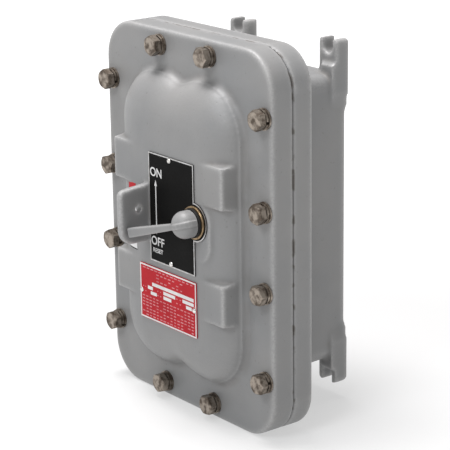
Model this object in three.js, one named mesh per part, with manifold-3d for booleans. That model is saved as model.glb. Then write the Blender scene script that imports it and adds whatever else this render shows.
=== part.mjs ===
// Fused disconnect switch in a cast, bolted enclosure.
// Millimetres, +Z up. The front faces -Y, the mounting wall is at +Y.
// Origin: centre of the flat back face that rests on the wall.
import * as THREE from "three";
import { mergeVertices } from "three/addons/utils/BufferGeometryUtils.js";
import { ParametricGeometry } from "three/addons/geometries/ParametricGeometry.js";
import Module from "manifold-3d";

const wasm = await Module();
wasm.setup();

// ---------- Driving dimensions ----------
const GAP = 0.3; // clearance between touching pieces
const EPS = 1; // overrun of a cut or a joined root, so that faces never coincide
const DEG = Math.PI / 180;

// Flanges
const FLANGE_W = 280;
const FLANGE_H = 406;
const FLANGE_R = 43;
const COVER_T = 27;
const BODY_FLANGE_T = 25.5;
const EDGE_BEVEL = 2.6;
const BODY_DEPTH = 118; // wall to the joint face

// Box behind the flange
const BOX_INSET_X = 51; // flange edge to box side at its root
const BOX_INSET_Z = 44;
const BOX_DRAFT = 3.5; // how far each side leans in over its depth
const BOX_R = 16;
const BOX_BACK_ROUND = 5;
const WALL = 8;
const BACK_WALL = 10;

// Mounting lugs
const LUG_W = 28;
const LUG_T = 17;
const LUG_RISE_TOP = 38; // above the box
const LUG_RISE_BOTTOM = 29; // below the box
const LUG_PROUD = 3; // beside the box
const SLOT_W = 14.4;
const SLOT_DEPTH = 16;
const LUG_FILLET = 8;
const LUG_CORNER = 3;
const ROOT_SINK = 4; // how far a block that grows out of another reaches into it
const PAD_T = 22;
const PAD_LENGTH = 38;
const PAD_OVERHANG = 6; // pad past each end of its length
const PAD_W = 20; // how far a pad reaches in from its outer side
const PAD_R = 3;

// Conduit entries
const ENTRY_R = 22;
const ENTRY_BOSS_R = 32;
const ENTRY_BOSS_RISE = 6;
const ENTRY_SINK = 10; // how far the boss stands inside the box

// Cover dome, cross bars and padlock ear
const DOME_RISE = 27;
const DOME_INSET_X = 43; // flange edge to dome root
const DOME_INSET_Z = 43;
const DOME_SPREAD = 47; // from the flat front out to the root
const DOME_FLAT_R = 8;
const SCALLOP_DEPTH = 8;
const SCALLOP_W = 17;
const DOME_WALL = 9;
const HOLLOW_INSET = 6; // dome outline to the outline of its hollow
const HOLLOW_R = 4;
const BAR_END_INSET = 47; // flange edge to bar end
const BAR_INNER_Z = 40;
const BAR_HEIGHT = 43.5;
const BAR_DRAFT = 3;
const EAR_X = -33;
const EAR_T = 8;
const EAR_REACH = 38;
const EAR_TOP_Z = 45;
const EAR_BOTTOM_Z = -18;
const EAR_HOLE_R = 4.2;
const EAR_HOLE_OUT = 15; // from the pad out to the padlock hole
const EAR_TOP_R = 5;
const EAR_BOTTOM_R = 17;
const EAR_SLOPE = 3; // how far the top edge falls towards the front

// Shaft, bushing and handle
const SHAFT_X = 49;
const SHAFT_Z = 19.5;
const SHAFT_R = 6.3;
const RUN = 0.08; // running clearance of the shaft
const BOSS_R = 24;
const BOSS_DROP = 21; // shaft centre to the lower end's centre of the long boss
const BOSS_BEVEL = 2.5;
const INNER_BOSS_R = 18;
const INNER_BOSS_RISE = 2; // inner end of the boss, behind the cover face
const BUSH_R = 10.5;
const BUSH_FLANGE_R = 17.4;
const BUSH_FLANGE_T = 2;
const O_RING_R = 15.8;
const O_RING_T = 2.6;
const HUB_R = 14.4;
const HUB_SKIRT = 7;
const HUB_DOME = 13;
const HUB_BORE_DEPTH = 12;
const LEVER_REACH = 77;
const LEVER_T = 7;
const LEVER_BEVEL = 1;
const LEVER_OFF = 2; // hub skirt to the lever
const LEVER_STUB = 11.4; // how far the lever runs on past the shaft
const LEVER_ROOT_H = 6.4;
const LEVER_TIP_H = 9.6;
const LEVER_LEAN = 9; // how far the tip stands further out than the root
const LEVER_REST = -16.7; // degrees above level, as the handle stands at rest
const LEVER_TO_ON = 44.5; // degrees from rest up to ON
const DRIVE_RATIO = 0.61; // blade turn for each degree of lever turn
const PIN_R = 1.6;
const PIN_SHORT = 0.4; // pin end to the side of the hub
const SHAFT_SHORT = 0.5; // shaft end to the back of the crank

// Plates on the cover
const PLATE_T = 1;
const MARK_W = 77;
const MARK_H = 118;
const MARK_X = 10;
const MARK_Z = 20.5;
const MARK_BULGE_R = 20.5;
const MARK_SCREW_X = 8;
const NAME_W = 99;
const NAME_H = 61;
const NAME_X = 0.5;
const NAME_Z = -76;
const NAME_R = 2;
const SCREW_R = 2.7;
const SCREW_CROWN = 1.6; // head height
const SCREW_SHOULDER_R = 1.9;
const SCREW_SHOULDER = 1.2;
const SCREW_SHANK_R = 1.2;
const SCREW_LENGTH = 6;
const SCREW_INSET = 3.4;

// Cover bolts (half-inch)
const BOLT_R = 6.1;
const BOLT_HEAD_AF = 19.05;
const BOLT_HEAD_T = 8;
const BOLT_CHAMFER_T = 1;
const BOLT_CHAMFER_W = 1.8;
const BOLT_HOLE_SPARE = 2; // hole past the end of the bolt
const BOLT_ENGAGE = 19; // thread length in the body flange
const BOLT_EDGE_X = 11.4; // flange edge to side bolts
const BOLT_EDGE_Z = 16.6; // flange edge to end bolts
const BOLT_END_X = 42; // end bolts either side of the centre line
const BOLT_SIDE_Z = [137.4, 42.3]; // side bolts above and below the centre line
const WASHER_R = 11.2;
const WASHER_T = 2;
const LOCK_WASHER_T = 3.2; // room kept under the head

// Switch inside
const POLES = 3;
const PAN_T = 2.5;
const PAN_OFF_BACK = 6; // standoff height
const PAN_CLEAR = 5;
const PAN_R = 5;
const PAN_HOLE_R = 3;
const PAN_HOLE_INSET = 12;
const STANDOFF_R = 6;
const WIRING_SPACE = 27; // free space past the terminals at each end
const BASE_T = 18;
const BASE_MARGIN = 2; // base past the terminals
const BASE_SPLIT = 6; // blade tails to the gap between the bases
const CHEEK_T = 8;
const CHEEK_CLEAR = 2;
const CHEEK_H = 32;
const CHEEK_CAP = 6; // cheek above the rotor
const BEARING_PLAY = 0.1;
const BARRIER_T = 3;
const BARRIER_RISE = 26;
const BARRIER_OFF = 10; // rotor to the barriers
const ROTOR_R = 8;
const ROTOR_SHORT = 1; // rotor end to the outer face of a cheek
const ROTOR_STANDOFF = 22; // base face to rotor axis
const BLADE_T = 3;
const BLADE_W = 14;
const BLADE_TAIL = 15;
const BLADE_SHORT = 1; // blade tip to the end of its jaw
const BLADE_SPARE = 0.1; // degrees, so that the blades stop just before upright
const COLLAR_WALL = 3;
const STRIP_T = 3;
const STRIP_W = 18;
const JAW_T = 2;
const JAW_H = 18;
const HINGE_H = 10;
const HINGE_DROP = 7; // rotor to the middle of the hinge jaw
const JAW_REACH = 26;
const TERMINAL = 17; // size of the wire lug block
const TERMINAL_SPACE = 4;
const LUG_WIRE_R = 5;
const LUG_SCREW_R = 3;
const FUSE_R = 10.3;
const FUSE_LENGTH = 57;
const FERRULE = 13;
const FERRULE_PROUD = 0.6;
const CLIP_T = 1.6;
const CLIP_W = 10;
const CLIP_SIDES = 14;
const CLIP_SPACE = 1; // clip to its strip
const CLIP_FOOT_W = 10;
const CLIP_MOUTH = 0.55; // height of the clip mouth, as a share of its radius
const STRIP_SPARE = 6; // strip past the middle of a clip
const YOKE_T = 9;
const YOKE_X = 12;
const YOKE_HUB_WALL = 5;
const YOKE_ARM_H = 10;
const FORK_W = 24;
const FORK_WALL = 5;
const FORK_CLEAR = 4; // crank to fork
const FORK_DEPTH = 13;
const FORK_FLOOR = 3;
const CRANK_REACH = 40;
const CRANK_T = 8;
const CRANK_HUB_R = 12;
const CRANK_EYE = 3; // crank around its pin
const CRANK_PIN_R = 3;
const CRANK_PIN_PLAY = 3.2;
const CRANK_PIN_SHORT = 5; // pin end to the bottom of the fork
const RING_T = 1.6;
const RING_R = 10;

// ---------- Derived places ----------
const COVER_BACK = -(BODY_DEPTH + GAP);
const COVER_FACE = COVER_BACK - COVER_T;
const PAD_FACE = COVER_FACE - DOME_RISE;
const FLANGE_BACK = -(BODY_DEPTH - BODY_FLANGE_T);
const INNER_BOSS_END = COVER_FACE + INNER_BOSS_RISE;
const BOX_X = FLANGE_W / 2 - BOX_INSET_X; // half sizes at the root
const BOX_Z = FLANGE_H / 2 - BOX_INSET_Z;
const LUG_X = BOX_X - BOX_DRAFT + LUG_PROUD - LUG_W / 2;
const BOX_BACK_Z = BOX_Z - BOX_DRAFT;
const INNER_X = BOX_X - BOX_DRAFT - WALL;
const INNER_Z = BOX_Z - BOX_DRAFT - WALL;
const PAN_BACK = -(BACK_WALL + PAN_OFF_BACK + GAP);
const PAN_FACE = PAN_BACK - PAN_T;
const PAN_X = INNER_X - PAN_CLEAR;
const PAN_Z = INNER_Z - PAN_CLEAR;
const BASE_BACK = PAN_FACE - GAP;
const BASE_FACE = BASE_BACK - BASE_T;
const BASE_X = PAN_X - CHEEK_CLEAR;
const POLE_PITCH = (2 * (BASE_X - CHEEK_T)) / POLES;
const POLE_X = [-POLE_PITCH, 0, POLE_PITCH];
const LINE_END = INNER_Z - WIRING_SPACE;
const LOAD_END = -LINE_END;
const SPLIT_Z = SHAFT_Z - BLADE_TAIL - BASE_SPLIT; // gap between the switch base and the fuse base
const JAW_Z = LINE_END - TERMINAL - JAW_H / 2 - TERMINAL_SPACE;
const FUSE_Z = LOAD_END + TERMINAL + TERMINAL_SPACE + FUSE_LENGTH / 2;
const ROTOR_Y = BASE_FACE - ROTOR_STANDOFF;
const FUSE_Y = BASE_FACE - STRIP_T - 2 * GAP - CLIP_T - FUSE_R - FERRULE_PROUD - CLIP_SPACE;
const CRANK_FACE = INNER_BOSS_END + RING_T + 2 * GAP;
const CRANK_BACK = CRANK_FACE + CRANK_T;
const FORK_FACE = CRANK_BACK + FORK_CLEAR;
const YOKE_REACH = ROTOR_Y - FORK_FACE;
const CRANK_PIN_BACK = FORK_FACE + FORK_DEPTH - CRANK_PIN_SHORT;
const YOKE_REST = Math.asin((CRANK_REACH * Math.sin(LEVER_REST * DEG)) / (YOKE_REACH - FORK_DEPTH / 2));
const BLADE_REST = DRIVE_RATIO * LEVER_TO_ON + BLADE_SPARE; // degrees that the blades stand open at rest
const BUSH_FACE = PAD_FACE - PLATE_T - 2 * GAP - BUSH_FLANGE_T;
const O_RING_BACK = BUSH_FACE - GAP;
const HUB_BACK = O_RING_BACK - O_RING_T - GAP;
const HANDLE_PIN_Y = HUB_BACK - HUB_SKIRT / 2;
const LEVER_Y = HUB_BACK - HUB_SKIRT - LEVER_OFF;

// ---------- Solids ----------
function solid(geometry) {
  const bare = geometry.clone();
  bare.deleteAttribute("normal");
  bare.deleteAttribute("uv");
  const merged = mergeVertices(bare, 1e-4);
  const source = merged.index.array;
  const kept = [];
  for (let i = 0; i < source.length; i += 3) {
    const [a, b, c] = [source[i], source[i + 1], source[i + 2]];
    if (a !== b && b !== c && a !== c) kept.push(a, b, c);
  }
  return new wasm.Manifold(
    new wasm.Mesh({
      numProp: 3,
      vertProperties: merged.attributes.position.array,
      triVerts: new Uint32Array(kept),
    }),
  );
}

function geometryOf(manifold) {
  const mesh = manifold.getMesh();
  const points = new Float32Array(mesh.numVert * 3);
  for (let i = 0; i < mesh.numVert; i++) {
    points.set(mesh.vertProperties.subarray(i * mesh.numProp, i * mesh.numProp + 3), i * 3);
  }
  return new THREE.BufferGeometry()
    .setAttribute("position", new THREE.BufferAttribute(points, 3))
    .setIndex(new THREE.BufferAttribute(mesh.triVerts, 1));
}

const join = (first, ...rest) => rest.reduce((sum, s) => sum.add(s), first);
const cut = (first, ...rest) => rest.reduce((left, s) => left.subtract(s), first);

// Box from its low and high corners.
function box(x0, x1, y0, y1, z0, z1) {
  const g = new THREE.BoxGeometry(x1 - x0, y1 - y0, z1 - z0);
  g.translate((x0 + x1) / 2, (y0 + y1) / 2, (z0 + z1) / 2);
  return solid(g);
}

// Cylinder along Y, X or Z, between two coordinates on that axis.
function rodY(r, x, z, y0, y1, sides = 16) {
  const g = new THREE.CylinderGeometry(r, r, y1 - y0, sides);
  g.translate(x, (y0 + y1) / 2, z);
  return solid(g);
}

function rodX(r, y, z, x0, x1, sides = 16) {
  const g = new THREE.CylinderGeometry(r, r, x1 - x0, sides).rotateZ(-Math.PI / 2);
  g.translate((x0 + x1) / 2, y, z);
  return solid(g);
}

function rodZ(r, x, y, z0, z1, sides = 16) {
  const g = new THREE.CylinderGeometry(r, r, z1 - z0, sides).rotateX(Math.PI / 2);
  g.translate(x, y, (z0 + z1) / 2);
  return solid(g);
}

// Outline drawn in X and Z, extruded from its back plane towards the front.
function frontPlate(shape, back, depth, bevel = 0, segments = 2, curveSegments = 5) {
  const g = new THREE.ExtrudeGeometry(shape, {
    depth: depth - 2 * bevel,
    bevelEnabled: bevel > 0,
    bevelThickness: bevel,
    bevelSize: bevel,
    bevelOffset: -bevel,
    bevelSegments: segments,
    curveSegments,
  });
  g.rotateX(Math.PI / 2).translate(0, back - bevel, 0);
  return solid(g);
}

// Outline drawn in Y and Z, extruded along +X.
function sidePlate(shape, x0, thickness, curveSegments = 6) {
  const g = new THREE.ExtrudeGeometry(shape, { depth: thickness, bevelEnabled: false, curveSegments });
  const turn = new THREE.Matrix4().makeBasis(
    new THREE.Vector3(0, 1, 0),
    new THREE.Vector3(0, 0, 1),
    new THREE.Vector3(1, 0, 0),
  );
  g.applyMatrix4(turn).translate(x0, 0, 0);
  return solid(g);
}

function roundedRect(halfX, halfZ, r, x = 0, z = 0) {
  const s = new THREE.Shape();
  s.moveTo(x - halfX + r, z - halfZ);
  s.absarc(x + halfX - r, z - halfZ + r, r, -Math.PI / 2, 0, false);
  s.absarc(x + halfX - r, z + halfZ - r, r, 0, Math.PI / 2, false);
  s.absarc(x - halfX + r, z + halfZ - r, r, Math.PI / 2, Math.PI, false);
  s.absarc(x - halfX + r, z - halfZ + r, r, Math.PI, Math.PI * 1.5, false);
  return s;
}

function ringY(outer, inner, x, z, y0, y1, sides = 20) {
  const profile = [
    new THREE.Vector2(inner, y0),
    new THREE.Vector2(outer, y0),
    new THREE.Vector2(outer, y1),
    new THREE.Vector2(inner, y1),
    new THREE.Vector2(inner, y0),
  ];
  return solid(new THREE.LatheGeometry(profile, sides).translate(x, 0, z));
}

// Leans the sides of a geometry inwards from the root plane to the tip plane.
function lean(geometry, root, tip, amount) {
  const p = geometry.attributes.position;
  for (let i = 0; i < p.count; i++) {
    const t = THREE.MathUtils.clamp((p.getY(i) - root) / (tip - root), 0, 1);
    p.setX(i, p.getX(i) - Math.sign(p.getX(i)) * amount * t);
    p.setZ(i, p.getZ(i) - Math.sign(p.getZ(i)) * amount * t);
  }
  return geometry;
}

// ---------- Named meshes ----------
const assembly = new THREE.Group();
const finish = {
  paint: { color: 0x9ea2a6, roughness: 0.5, metalness: 0.1 },
  stainless: { color: 0x8a7f74, roughness: 0.4, metalness: 0.9 },
  bronze: { color: 0x9a7440, roughness: 0.4, metalness: 0.9 },
  rubber: { color: 0x151515, roughness: 0.8, metalness: 0 },
  blackPlate: { color: 0x141414, roughness: 0.35, metalness: 0.2 },
  redPlate: { color: 0xb0202c, roughness: 0.35, metalness: 0.2 },
  zinc: { color: 0x9a9c9e, roughness: 0.45, metalness: 0.9 },
  phenolic: { color: 0x3a2418, roughness: 0.6, metalness: 0 },
  copper: { color: 0xb56a3c, roughness: 0.35, metalness: 1 },
  fuseTube: { color: 0xd8cfb8, roughness: 0.6, metalness: 0 },
};

function place(name, manifold, look, parent = assembly) {
  const mesh = new THREE.Mesh(geometryOf(manifold), new THREE.MeshStandardMaterial(look));
  mesh.name = name;
  parent.add(mesh);
  return mesh;
}

// ---------- Bolt places, shared by the cover, the body and the fasteners ----------
const boltPlaces = [];
for (const side of [-1, 1]) {
  const endZ = FLANGE_H / 2 - BOLT_EDGE_Z;
  boltPlaces.push([side * BOLT_END_X, endZ], [side * BOLT_END_X, -endZ]);
  for (const z of BOLT_SIDE_Z) {
    const sideX = side * (FLANGE_W / 2 - BOLT_EDGE_X);
    boltPlaces.push([sideX, z], [sideX, -z]);
  }
}

// Flange slab: the outer edge is bevelled on one face and square at the joint.
function flangeSlab(back, depth, bevelAtFront) {
  const shape = () => roundedRect(FLANGE_W / 2, FLANGE_H / 2, FLANGE_R);
  const half = depth / 2;
  const square = frontPlate(shape(), bevelAtFront ? back : back - half, half);
  return frontPlate(shape(), back, depth, EDGE_BEVEL).add(square);
}

// ---------- Enclosure body ----------
function lugShape(sideX, sideZ) {
  const tip = BOX_BACK_Z + (sideZ > 0 ? LUG_RISE_TOP : LUG_RISE_BOTTOM);
  const root = BOX_BACK_Z - BOX_R - ROOT_SINK;
  const [inner, outer] = [LUG_X - LUG_W / 2, LUG_X + LUG_W / 2];
  const slotZ = tip - SLOT_DEPTH + SLOT_W / 2;
  const s = new THREE.Shape();
  s.moveTo(inner - LUG_FILLET, root);
  s.lineTo(outer, root);
  s.absarc(outer - LUG_CORNER, tip - LUG_CORNER, LUG_CORNER, 0, Math.PI / 2, false);
  s.lineTo(LUG_X + SLOT_W / 2, tip);
  s.absarc(LUG_X, slotZ, SLOT_W / 2, 0, -Math.PI, true);
  s.lineTo(LUG_X - SLOT_W / 2, tip);
  s.absarc(inner + LUG_CORNER, tip - LUG_CORNER, LUG_CORNER, Math.PI / 2, Math.PI, false);
  s.absarc(inner - LUG_FILLET, BOX_BACK_Z + LUG_FILLET, LUG_FILLET, 0, -Math.PI / 2, true);
  const g = frontPlate(s, 0, LUG_T, 1, 1);
  return mirrored(g, sideX, sideZ);
}

// Mirror image in X and Z, with its faces kept pointing out.
function mirrored(manifold, sideX, sideZ) {
  const g = geometryOf(manifold);
  g.scale(sideX, 1, sideZ);
  if (sideX * sideZ < 0) {
    const index = g.index.array;
    for (let i = 0; i < index.length; i += 3) {
      [index[i + 1], index[i + 2]] = [index[i + 2], index[i + 1]];
    }
  }
  return solid(g);
}

function enclosureBody() {
  const outer = new THREE.ExtrudeGeometry(roundedRect(BOX_X, BOX_Z, BOX_R), {
    depth: -FLANGE_BACK - BOX_BACK_ROUND + EPS,
    bevelThickness: BOX_BACK_ROUND,
    bevelSize: BOX_BACK_ROUND,
    bevelOffset: -BOX_BACK_ROUND,
    bevelSegments: 3,
    curveSegments: 4,
  });
  outer.rotateX(Math.PI / 2).translate(0, -BOX_BACK_ROUND, 0);
  lean(outer, FLANGE_BACK, 0, BOX_DRAFT);
  const hollow = new THREE.ExtrudeGeometry(roundedRect(BOX_X - WALL, BOX_Z - WALL, BOX_R - WALL), {
    depth: BODY_DEPTH - BACK_WALL + EPS,
    bevelEnabled: false,
    curveSegments: 3,
  });
  hollow.rotateX(Math.PI / 2).translate(0, -BACK_WALL, 0);
  lean(hollow, FLANGE_BACK, -BACK_WALL, BOX_DRAFT);
  let body = join(flangeSlab(FLANGE_BACK, BODY_FLANGE_T, false), solid(outer));
  const entryY = (FLANGE_BACK - BACK_WALL) / 2;
  const entryTop = BOX_Z + ENTRY_BOSS_RISE;
  const entryLow = INNER_Z - ENTRY_SINK;
  for (const sideZ of [-1, 1]) {
    const [z0, z1] = sideZ > 0 ? [entryLow, entryTop] : [-entryTop, -entryLow];
    body = body.add(rodZ(ENTRY_BOSS_R, 0, entryY, z0, z1, 24));
    for (const sideX of [-1, 1]) {
      const padOuter = BOX_X - BOX_DRAFT + LUG_PROUD;
      const padZ = BOX_BACK_Z - PAD_LENGTH / 2 + PAD_OVERHANG;
      const padHalf = PAD_LENGTH / 2 + PAD_OVERHANG;
      const padShape = roundedRect(PAD_W / 2, padHalf, PAD_R, padOuter - PAD_W / 2, padZ);
      const pad = mirrored(frontPlate(padShape, 0, PAD_T, 1, 1, 3), sideX, sideZ);
      body = join(body, lugShape(sideX, sideZ), pad);
    }
  }
  body = cut(body, solid(hollow));
  for (const sideZ of [-1, 1]) {
    const [low, high] = [entryLow - EPS, entryTop + EPS];
    const [z0, z1] = sideZ > 0 ? [low, high] : [-high, -low];
    body = body.subtract(rodZ(ENTRY_R, 0, entryY, z0, z1, 24));
    for (const sideX of [-1, 1]) {
      const [x, z] = [sideX * (PAN_X - PAN_HOLE_INSET), sideZ * (PAN_Z - PAN_HOLE_INSET)];
      body = body.add(rodY(STANDOFF_R, x, z, -BACK_WALL - PAN_OFF_BACK, -BACK_WALL + EPS, 10));
    }
  }
  for (const [x, z] of boltPlaces) {
    const holeEnd = -BODY_DEPTH + BOLT_ENGAGE + BOLT_HOLE_SPARE;
    body = body.subtract(rodY(BOLT_R + GAP, x, z, -BODY_DEPTH - EPS, holeEnd, 10));
  }
  return body;
}

// ---------- Cover ----------
// Rounded rectangle as points with outward normals. The ends have extra points for the scallops.
function domeRing(halfX, halfZ, r) {
  const points = [];
  const corners = [
    [1, 1, 0],
    [-1, 1, Math.PI / 2],
    [-1, -1, Math.PI],
    [1, -1, Math.PI * 1.5],
  ];
  const arcSteps = 5;
  const endSteps = 12;
  for (const [sx, sz, start] of corners) {
    for (let i = 0; i <= arcSteps; i++) {
      const a = start + ((Math.PI / 2) * i) / arcSteps;
      const [nx, nz] = [Math.cos(a), Math.sin(a)];
      points.push({ x: sx * (halfX - r) + r * nx, z: sz * (halfZ - r) + r * nz, nx, nz });
    }
    if (sx * sz > 0) {
      for (let i = 1; i < endSteps; i++) {
        const x = sx * (halfX - r) * (1 - (2 * i) / endSteps);
        points.push({ x, z: sz * halfZ, nx: 0, nz: sz });
      }
    }
  }
  return points;
}

// Pillow with a flat front, elliptical sides and a scallop at the middle of each end.
function pillow(flatX, flatZ, flatR, spread, rootY, rise, scallop) {
  const ring = domeRing(flatX, flatZ, flatR);
  const arcs = 7;
  const stacks = arcs + 2;
  const at = (u, v, target) => {
    const p = ring[Math.round(u * ring.length) % ring.length];
    const level = Math.round(v * stacks);
    if (level === 0) return target.set(0, rootY, 0);
    if (level === stacks) return target.set(0, rootY - rise, 0);
    const a = ((level - 1) / arcs) * (Math.PI / 2);
    const out = spread * Math.cos(a);
    const dip = scallop * Math.cos(a) * Math.exp(-((p.x / SCALLOP_W) ** 2)) * p.nz;
    return target.set(p.x + p.nx * out, rootY - rise * Math.sin(a), p.z + p.nz * out - dip);
  };
  return solid(new ParametricGeometry(at, ring.length, stacks));
}

function crossBar(sideZ) {
  const halfX = FLANGE_W / 2 - BAR_END_INSET;
  const z = sideZ * (BAR_INNER_Z + BAR_HEIGHT / 2);
  const g = new THREE.BoxGeometry(2, DOME_RISE + EPS, 2);
  const p = g.attributes.position;
  for (let i = 0; i < p.count; i++) {
    const grow = p.getY(i) > 0 ? BAR_DRAFT : 0;
    p.setX(i, p.getX(i) * (halfX + grow));
    p.setZ(i, p.getZ(i) * (BAR_HEIGHT / 2 + grow) + z);
    p.setY(i, p.getY(i) + (PAD_FACE + COVER_FACE + EPS) / 2);
  }
  return solid(g);
}

function padlockEar() {
  const [root, front] = [PAD_FACE + ROOT_SINK, PAD_FACE - EAR_REACH];
  const [small, large] = [EAR_TOP_R, EAR_BOTTOM_R];
  const low = EAR_TOP_Z - EAR_SLOPE;
  const s = new THREE.Shape();
  s.moveTo(root, EAR_BOTTOM_Z);
  s.lineTo(root, EAR_TOP_Z);
  s.lineTo(front + small, low);
  s.absarc(front + small, low - small, small, Math.PI / 2, Math.PI, false);
  s.absarc(front + large, EAR_BOTTOM_Z + large, large, Math.PI, Math.PI * 1.5, false);
  const hole = rodX(EAR_HOLE_R, PAD_FACE - EAR_HOLE_OUT, SHAFT_Z, EAR_X - EAR_T, EAR_X + EAR_T, 16);
  return sidePlate(s, EAR_X - EAR_T / 2, EAR_T).subtract(hole);
}

function shaftBoss() {
  const s = new THREE.Shape();
  s.moveTo(SHAFT_X + BOSS_R, SHAFT_Z - BOSS_DROP);
  s.lineTo(SHAFT_X + BOSS_R, SHAFT_Z);
  s.absarc(SHAFT_X, SHAFT_Z, BOSS_R, 0, Math.PI, false);
  s.absarc(SHAFT_X, SHAFT_Z - BOSS_DROP, BOSS_R, Math.PI, Math.PI * 2, false);
  return frontPlate(s, COVER_FACE + EPS, DOME_RISE + EPS, BOSS_BEVEL, 2, 8);
}

const screwPlaces = [
  [MARK_SCREW_X, MARK_Z + MARK_H / 2 - SCREW_INSET],
  [MARK_SCREW_X, MARK_Z - MARK_H / 2 + SCREW_INSET],
  [NAME_X - NAME_W / 2 + SCREW_INSET, NAME_Z],
  [NAME_X + NAME_W / 2 - SCREW_INSET, NAME_Z],
];

function cover() {
  const flatX = FLANGE_W / 2 - DOME_INSET_X - DOME_SPREAD;
  const flatZ = FLANGE_H / 2 - DOME_INSET_Z - DOME_SPREAD;
  let shell = join(
    flangeSlab(COVER_BACK, COVER_T, true),
    pillow(flatX, flatZ, DOME_FLAT_R, DOME_SPREAD, COVER_FACE + EPS, DOME_RISE + EPS, SCALLOP_DEPTH),
    crossBar(1),
    crossBar(-1),
    shaftBoss(),
    padlockEar(),
  );
  const hollow = pillow(
    flatX - HOLLOW_INSET,
    flatZ - HOLLOW_INSET,
    HOLLOW_R,
    DOME_SPREAD - HOLLOW_INSET,
    COVER_BACK + EPS,
    COVER_T + DOME_RISE - DOME_WALL + EPS,
    0,
  );
  shell = shell.subtract(hollow);
  shell = shell.add(rodY(INNER_BOSS_R, SHAFT_X, SHAFT_Z, PAD_FACE + ROOT_SINK, INNER_BOSS_END - GAP, 20));
  shell = shell.subtract(rodY(BUSH_R + GAP, SHAFT_X, SHAFT_Z, PAD_FACE - EPS, INNER_BOSS_END + EPS, 20));
  for (const [x, z] of boltPlaces) {
    shell = shell.subtract(rodY(BOLT_R + 2 * GAP, x, z, COVER_FACE - EPS, COVER_BACK + EPS, 10));
  }
  for (const [x, z] of screwPlaces) {
    const holeEnd = PAD_FACE + SCREW_LENGTH + GAP;
    shell = shell.subtract(rodY(SCREW_SHANK_R + GAP, x, z, PAD_FACE - EPS, holeEnd, 8));
  }
  return shell;
}

place("enclosure_body", enclosureBody(), finish.paint);
place("cover", cover(), finish.paint);

// ---------- Cover bolts and washers ----------
function coverBolt(x, z) {
  const seat = COVER_FACE - WASHER_T - LOCK_WASHER_T - 3 * GAP;
  const across = BOLT_HEAD_AF / Math.cos(Math.PI / 6) / 2;
  const profile = [
    new THREE.Vector2(0, seat),
    new THREE.Vector2(across, seat),
    new THREE.Vector2(across, seat - BOLT_HEAD_T + BOLT_CHAMFER_T),
    new THREE.Vector2(across - BOLT_CHAMFER_W, seat - BOLT_HEAD_T),
    new THREE.Vector2(0, seat - BOLT_HEAD_T),
  ].reverse();
  const head = solid(new THREE.LatheGeometry(profile, 6).translate(x, 0, z));
  return head.add(rodY(BOLT_R, x, z, seat - EPS, -BODY_DEPTH + BOLT_ENGAGE, 10));
}

boltPlaces.forEach(([x, z], i) => {
  const number = String(i + 1).padStart(2, "0");
  const washer = ringY(WASHER_R, BOLT_R + GAP, x, z, COVER_FACE - WASHER_T - GAP, COVER_FACE - GAP, 16);
  place("cover_bolt_" + number, coverBolt(x, z), finish.stainless);
  place("cover_washer_" + number, washer, finish.stainless);
});

// ---------- Plates and drive screws ----------
function plateWithHoles(shape, holes, curveSegments) {
  let plate = frontPlate(shape, PAD_FACE - GAP, PLATE_T, 0, 1, curveSegments);
  for (const [x, z, r, sides] of holes) {
    plate = plate.subtract(rodY(r, x, z, PAD_FACE - PLATE_T - GAP - EPS, PAD_FACE + EPS, sides));
  }
  return plate;
}

function markPlate() {
  const [x0, x1] = [MARK_X - MARK_W / 2, MARK_X + MARK_W / 2];
  const [z0, z1] = [MARK_Z - MARK_H / 2, MARK_Z + MARK_H / 2];
  const rise = Math.sqrt(Math.max(MARK_BULGE_R ** 2 - (x1 - SHAFT_X) ** 2, 1));
  const start = Math.atan2(-rise, x1 - SHAFT_X);
  const s = new THREE.Shape();
  s.moveTo(x0, z0);
  s.lineTo(x1, z0);
  s.absarc(SHAFT_X, SHAFT_Z, MARK_BULGE_R, start, -start, false);
  s.lineTo(x1, z1);
  s.lineTo(x0, z1);
  const screws = screwPlaces.slice(0, 2).map(([x, z]) => [x, z, SCREW_SHANK_R + GAP, 8]);
  return plateWithHoles(s, [...screws, [SHAFT_X, SHAFT_Z, BUSH_R + 2 * GAP, 20]], 12);
}

const nameShape = roundedRect(NAME_W / 2, NAME_H / 2, NAME_R, NAME_X, NAME_Z);
const nameScrews = screwPlaces.slice(2).map(([x, z]) => [x, z, SCREW_SHANK_R + GAP, 8]);
place("on_off_plate", markPlate(), finish.blackPlate);
place("nameplate", plateWithHoles(nameShape, nameScrews, 2), finish.redPlate);

screwPlaces.forEach(([x, z], i) => {
  const seat = PAD_FACE - PLATE_T - 2 * GAP;
  const crown = [
    new THREE.Vector2(0, seat - SCREW_CROWN),
    new THREE.Vector2(SCREW_SHOULDER_R, seat - SCREW_SHOULDER),
    new THREE.Vector2(SCREW_R, seat),
    new THREE.Vector2(0, seat),
  ];
  const head = solid(new THREE.LatheGeometry(crown, 12).translate(x, 0, z));
  const shank = rodY(SCREW_SHANK_R, x, z, seat - EPS, PAD_FACE + SCREW_LENGTH, 8);
  place("plate_screw_" + (i + 1), head.add(shank), finish.zinc);
});

// ---------- Bushing, seal and everything that turns with the handle ----------
const bushSleeve = rodY(BUSH_R, SHAFT_X, SHAFT_Z, BUSH_FACE + EPS, INNER_BOSS_END, 20);
const bushFlange = rodY(BUSH_FLANGE_R, SHAFT_X, SHAFT_Z, BUSH_FACE, BUSH_FACE + BUSH_FLANGE_T, 28);
const bushBore = rodY(SHAFT_R + RUN, SHAFT_X, SHAFT_Z, BUSH_FACE - EPS, INNER_BOSS_END + EPS, 24);
place("shaft_bushing", cut(join(bushSleeve, bushFlange), bushBore), finish.bronze);
place(
  "shaft_o_ring",
  ringY(O_RING_R, SHAFT_R + GAP, SHAFT_X, SHAFT_Z, O_RING_BACK - O_RING_T, O_RING_BACK, 24),
  finish.rubber,
);

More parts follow.
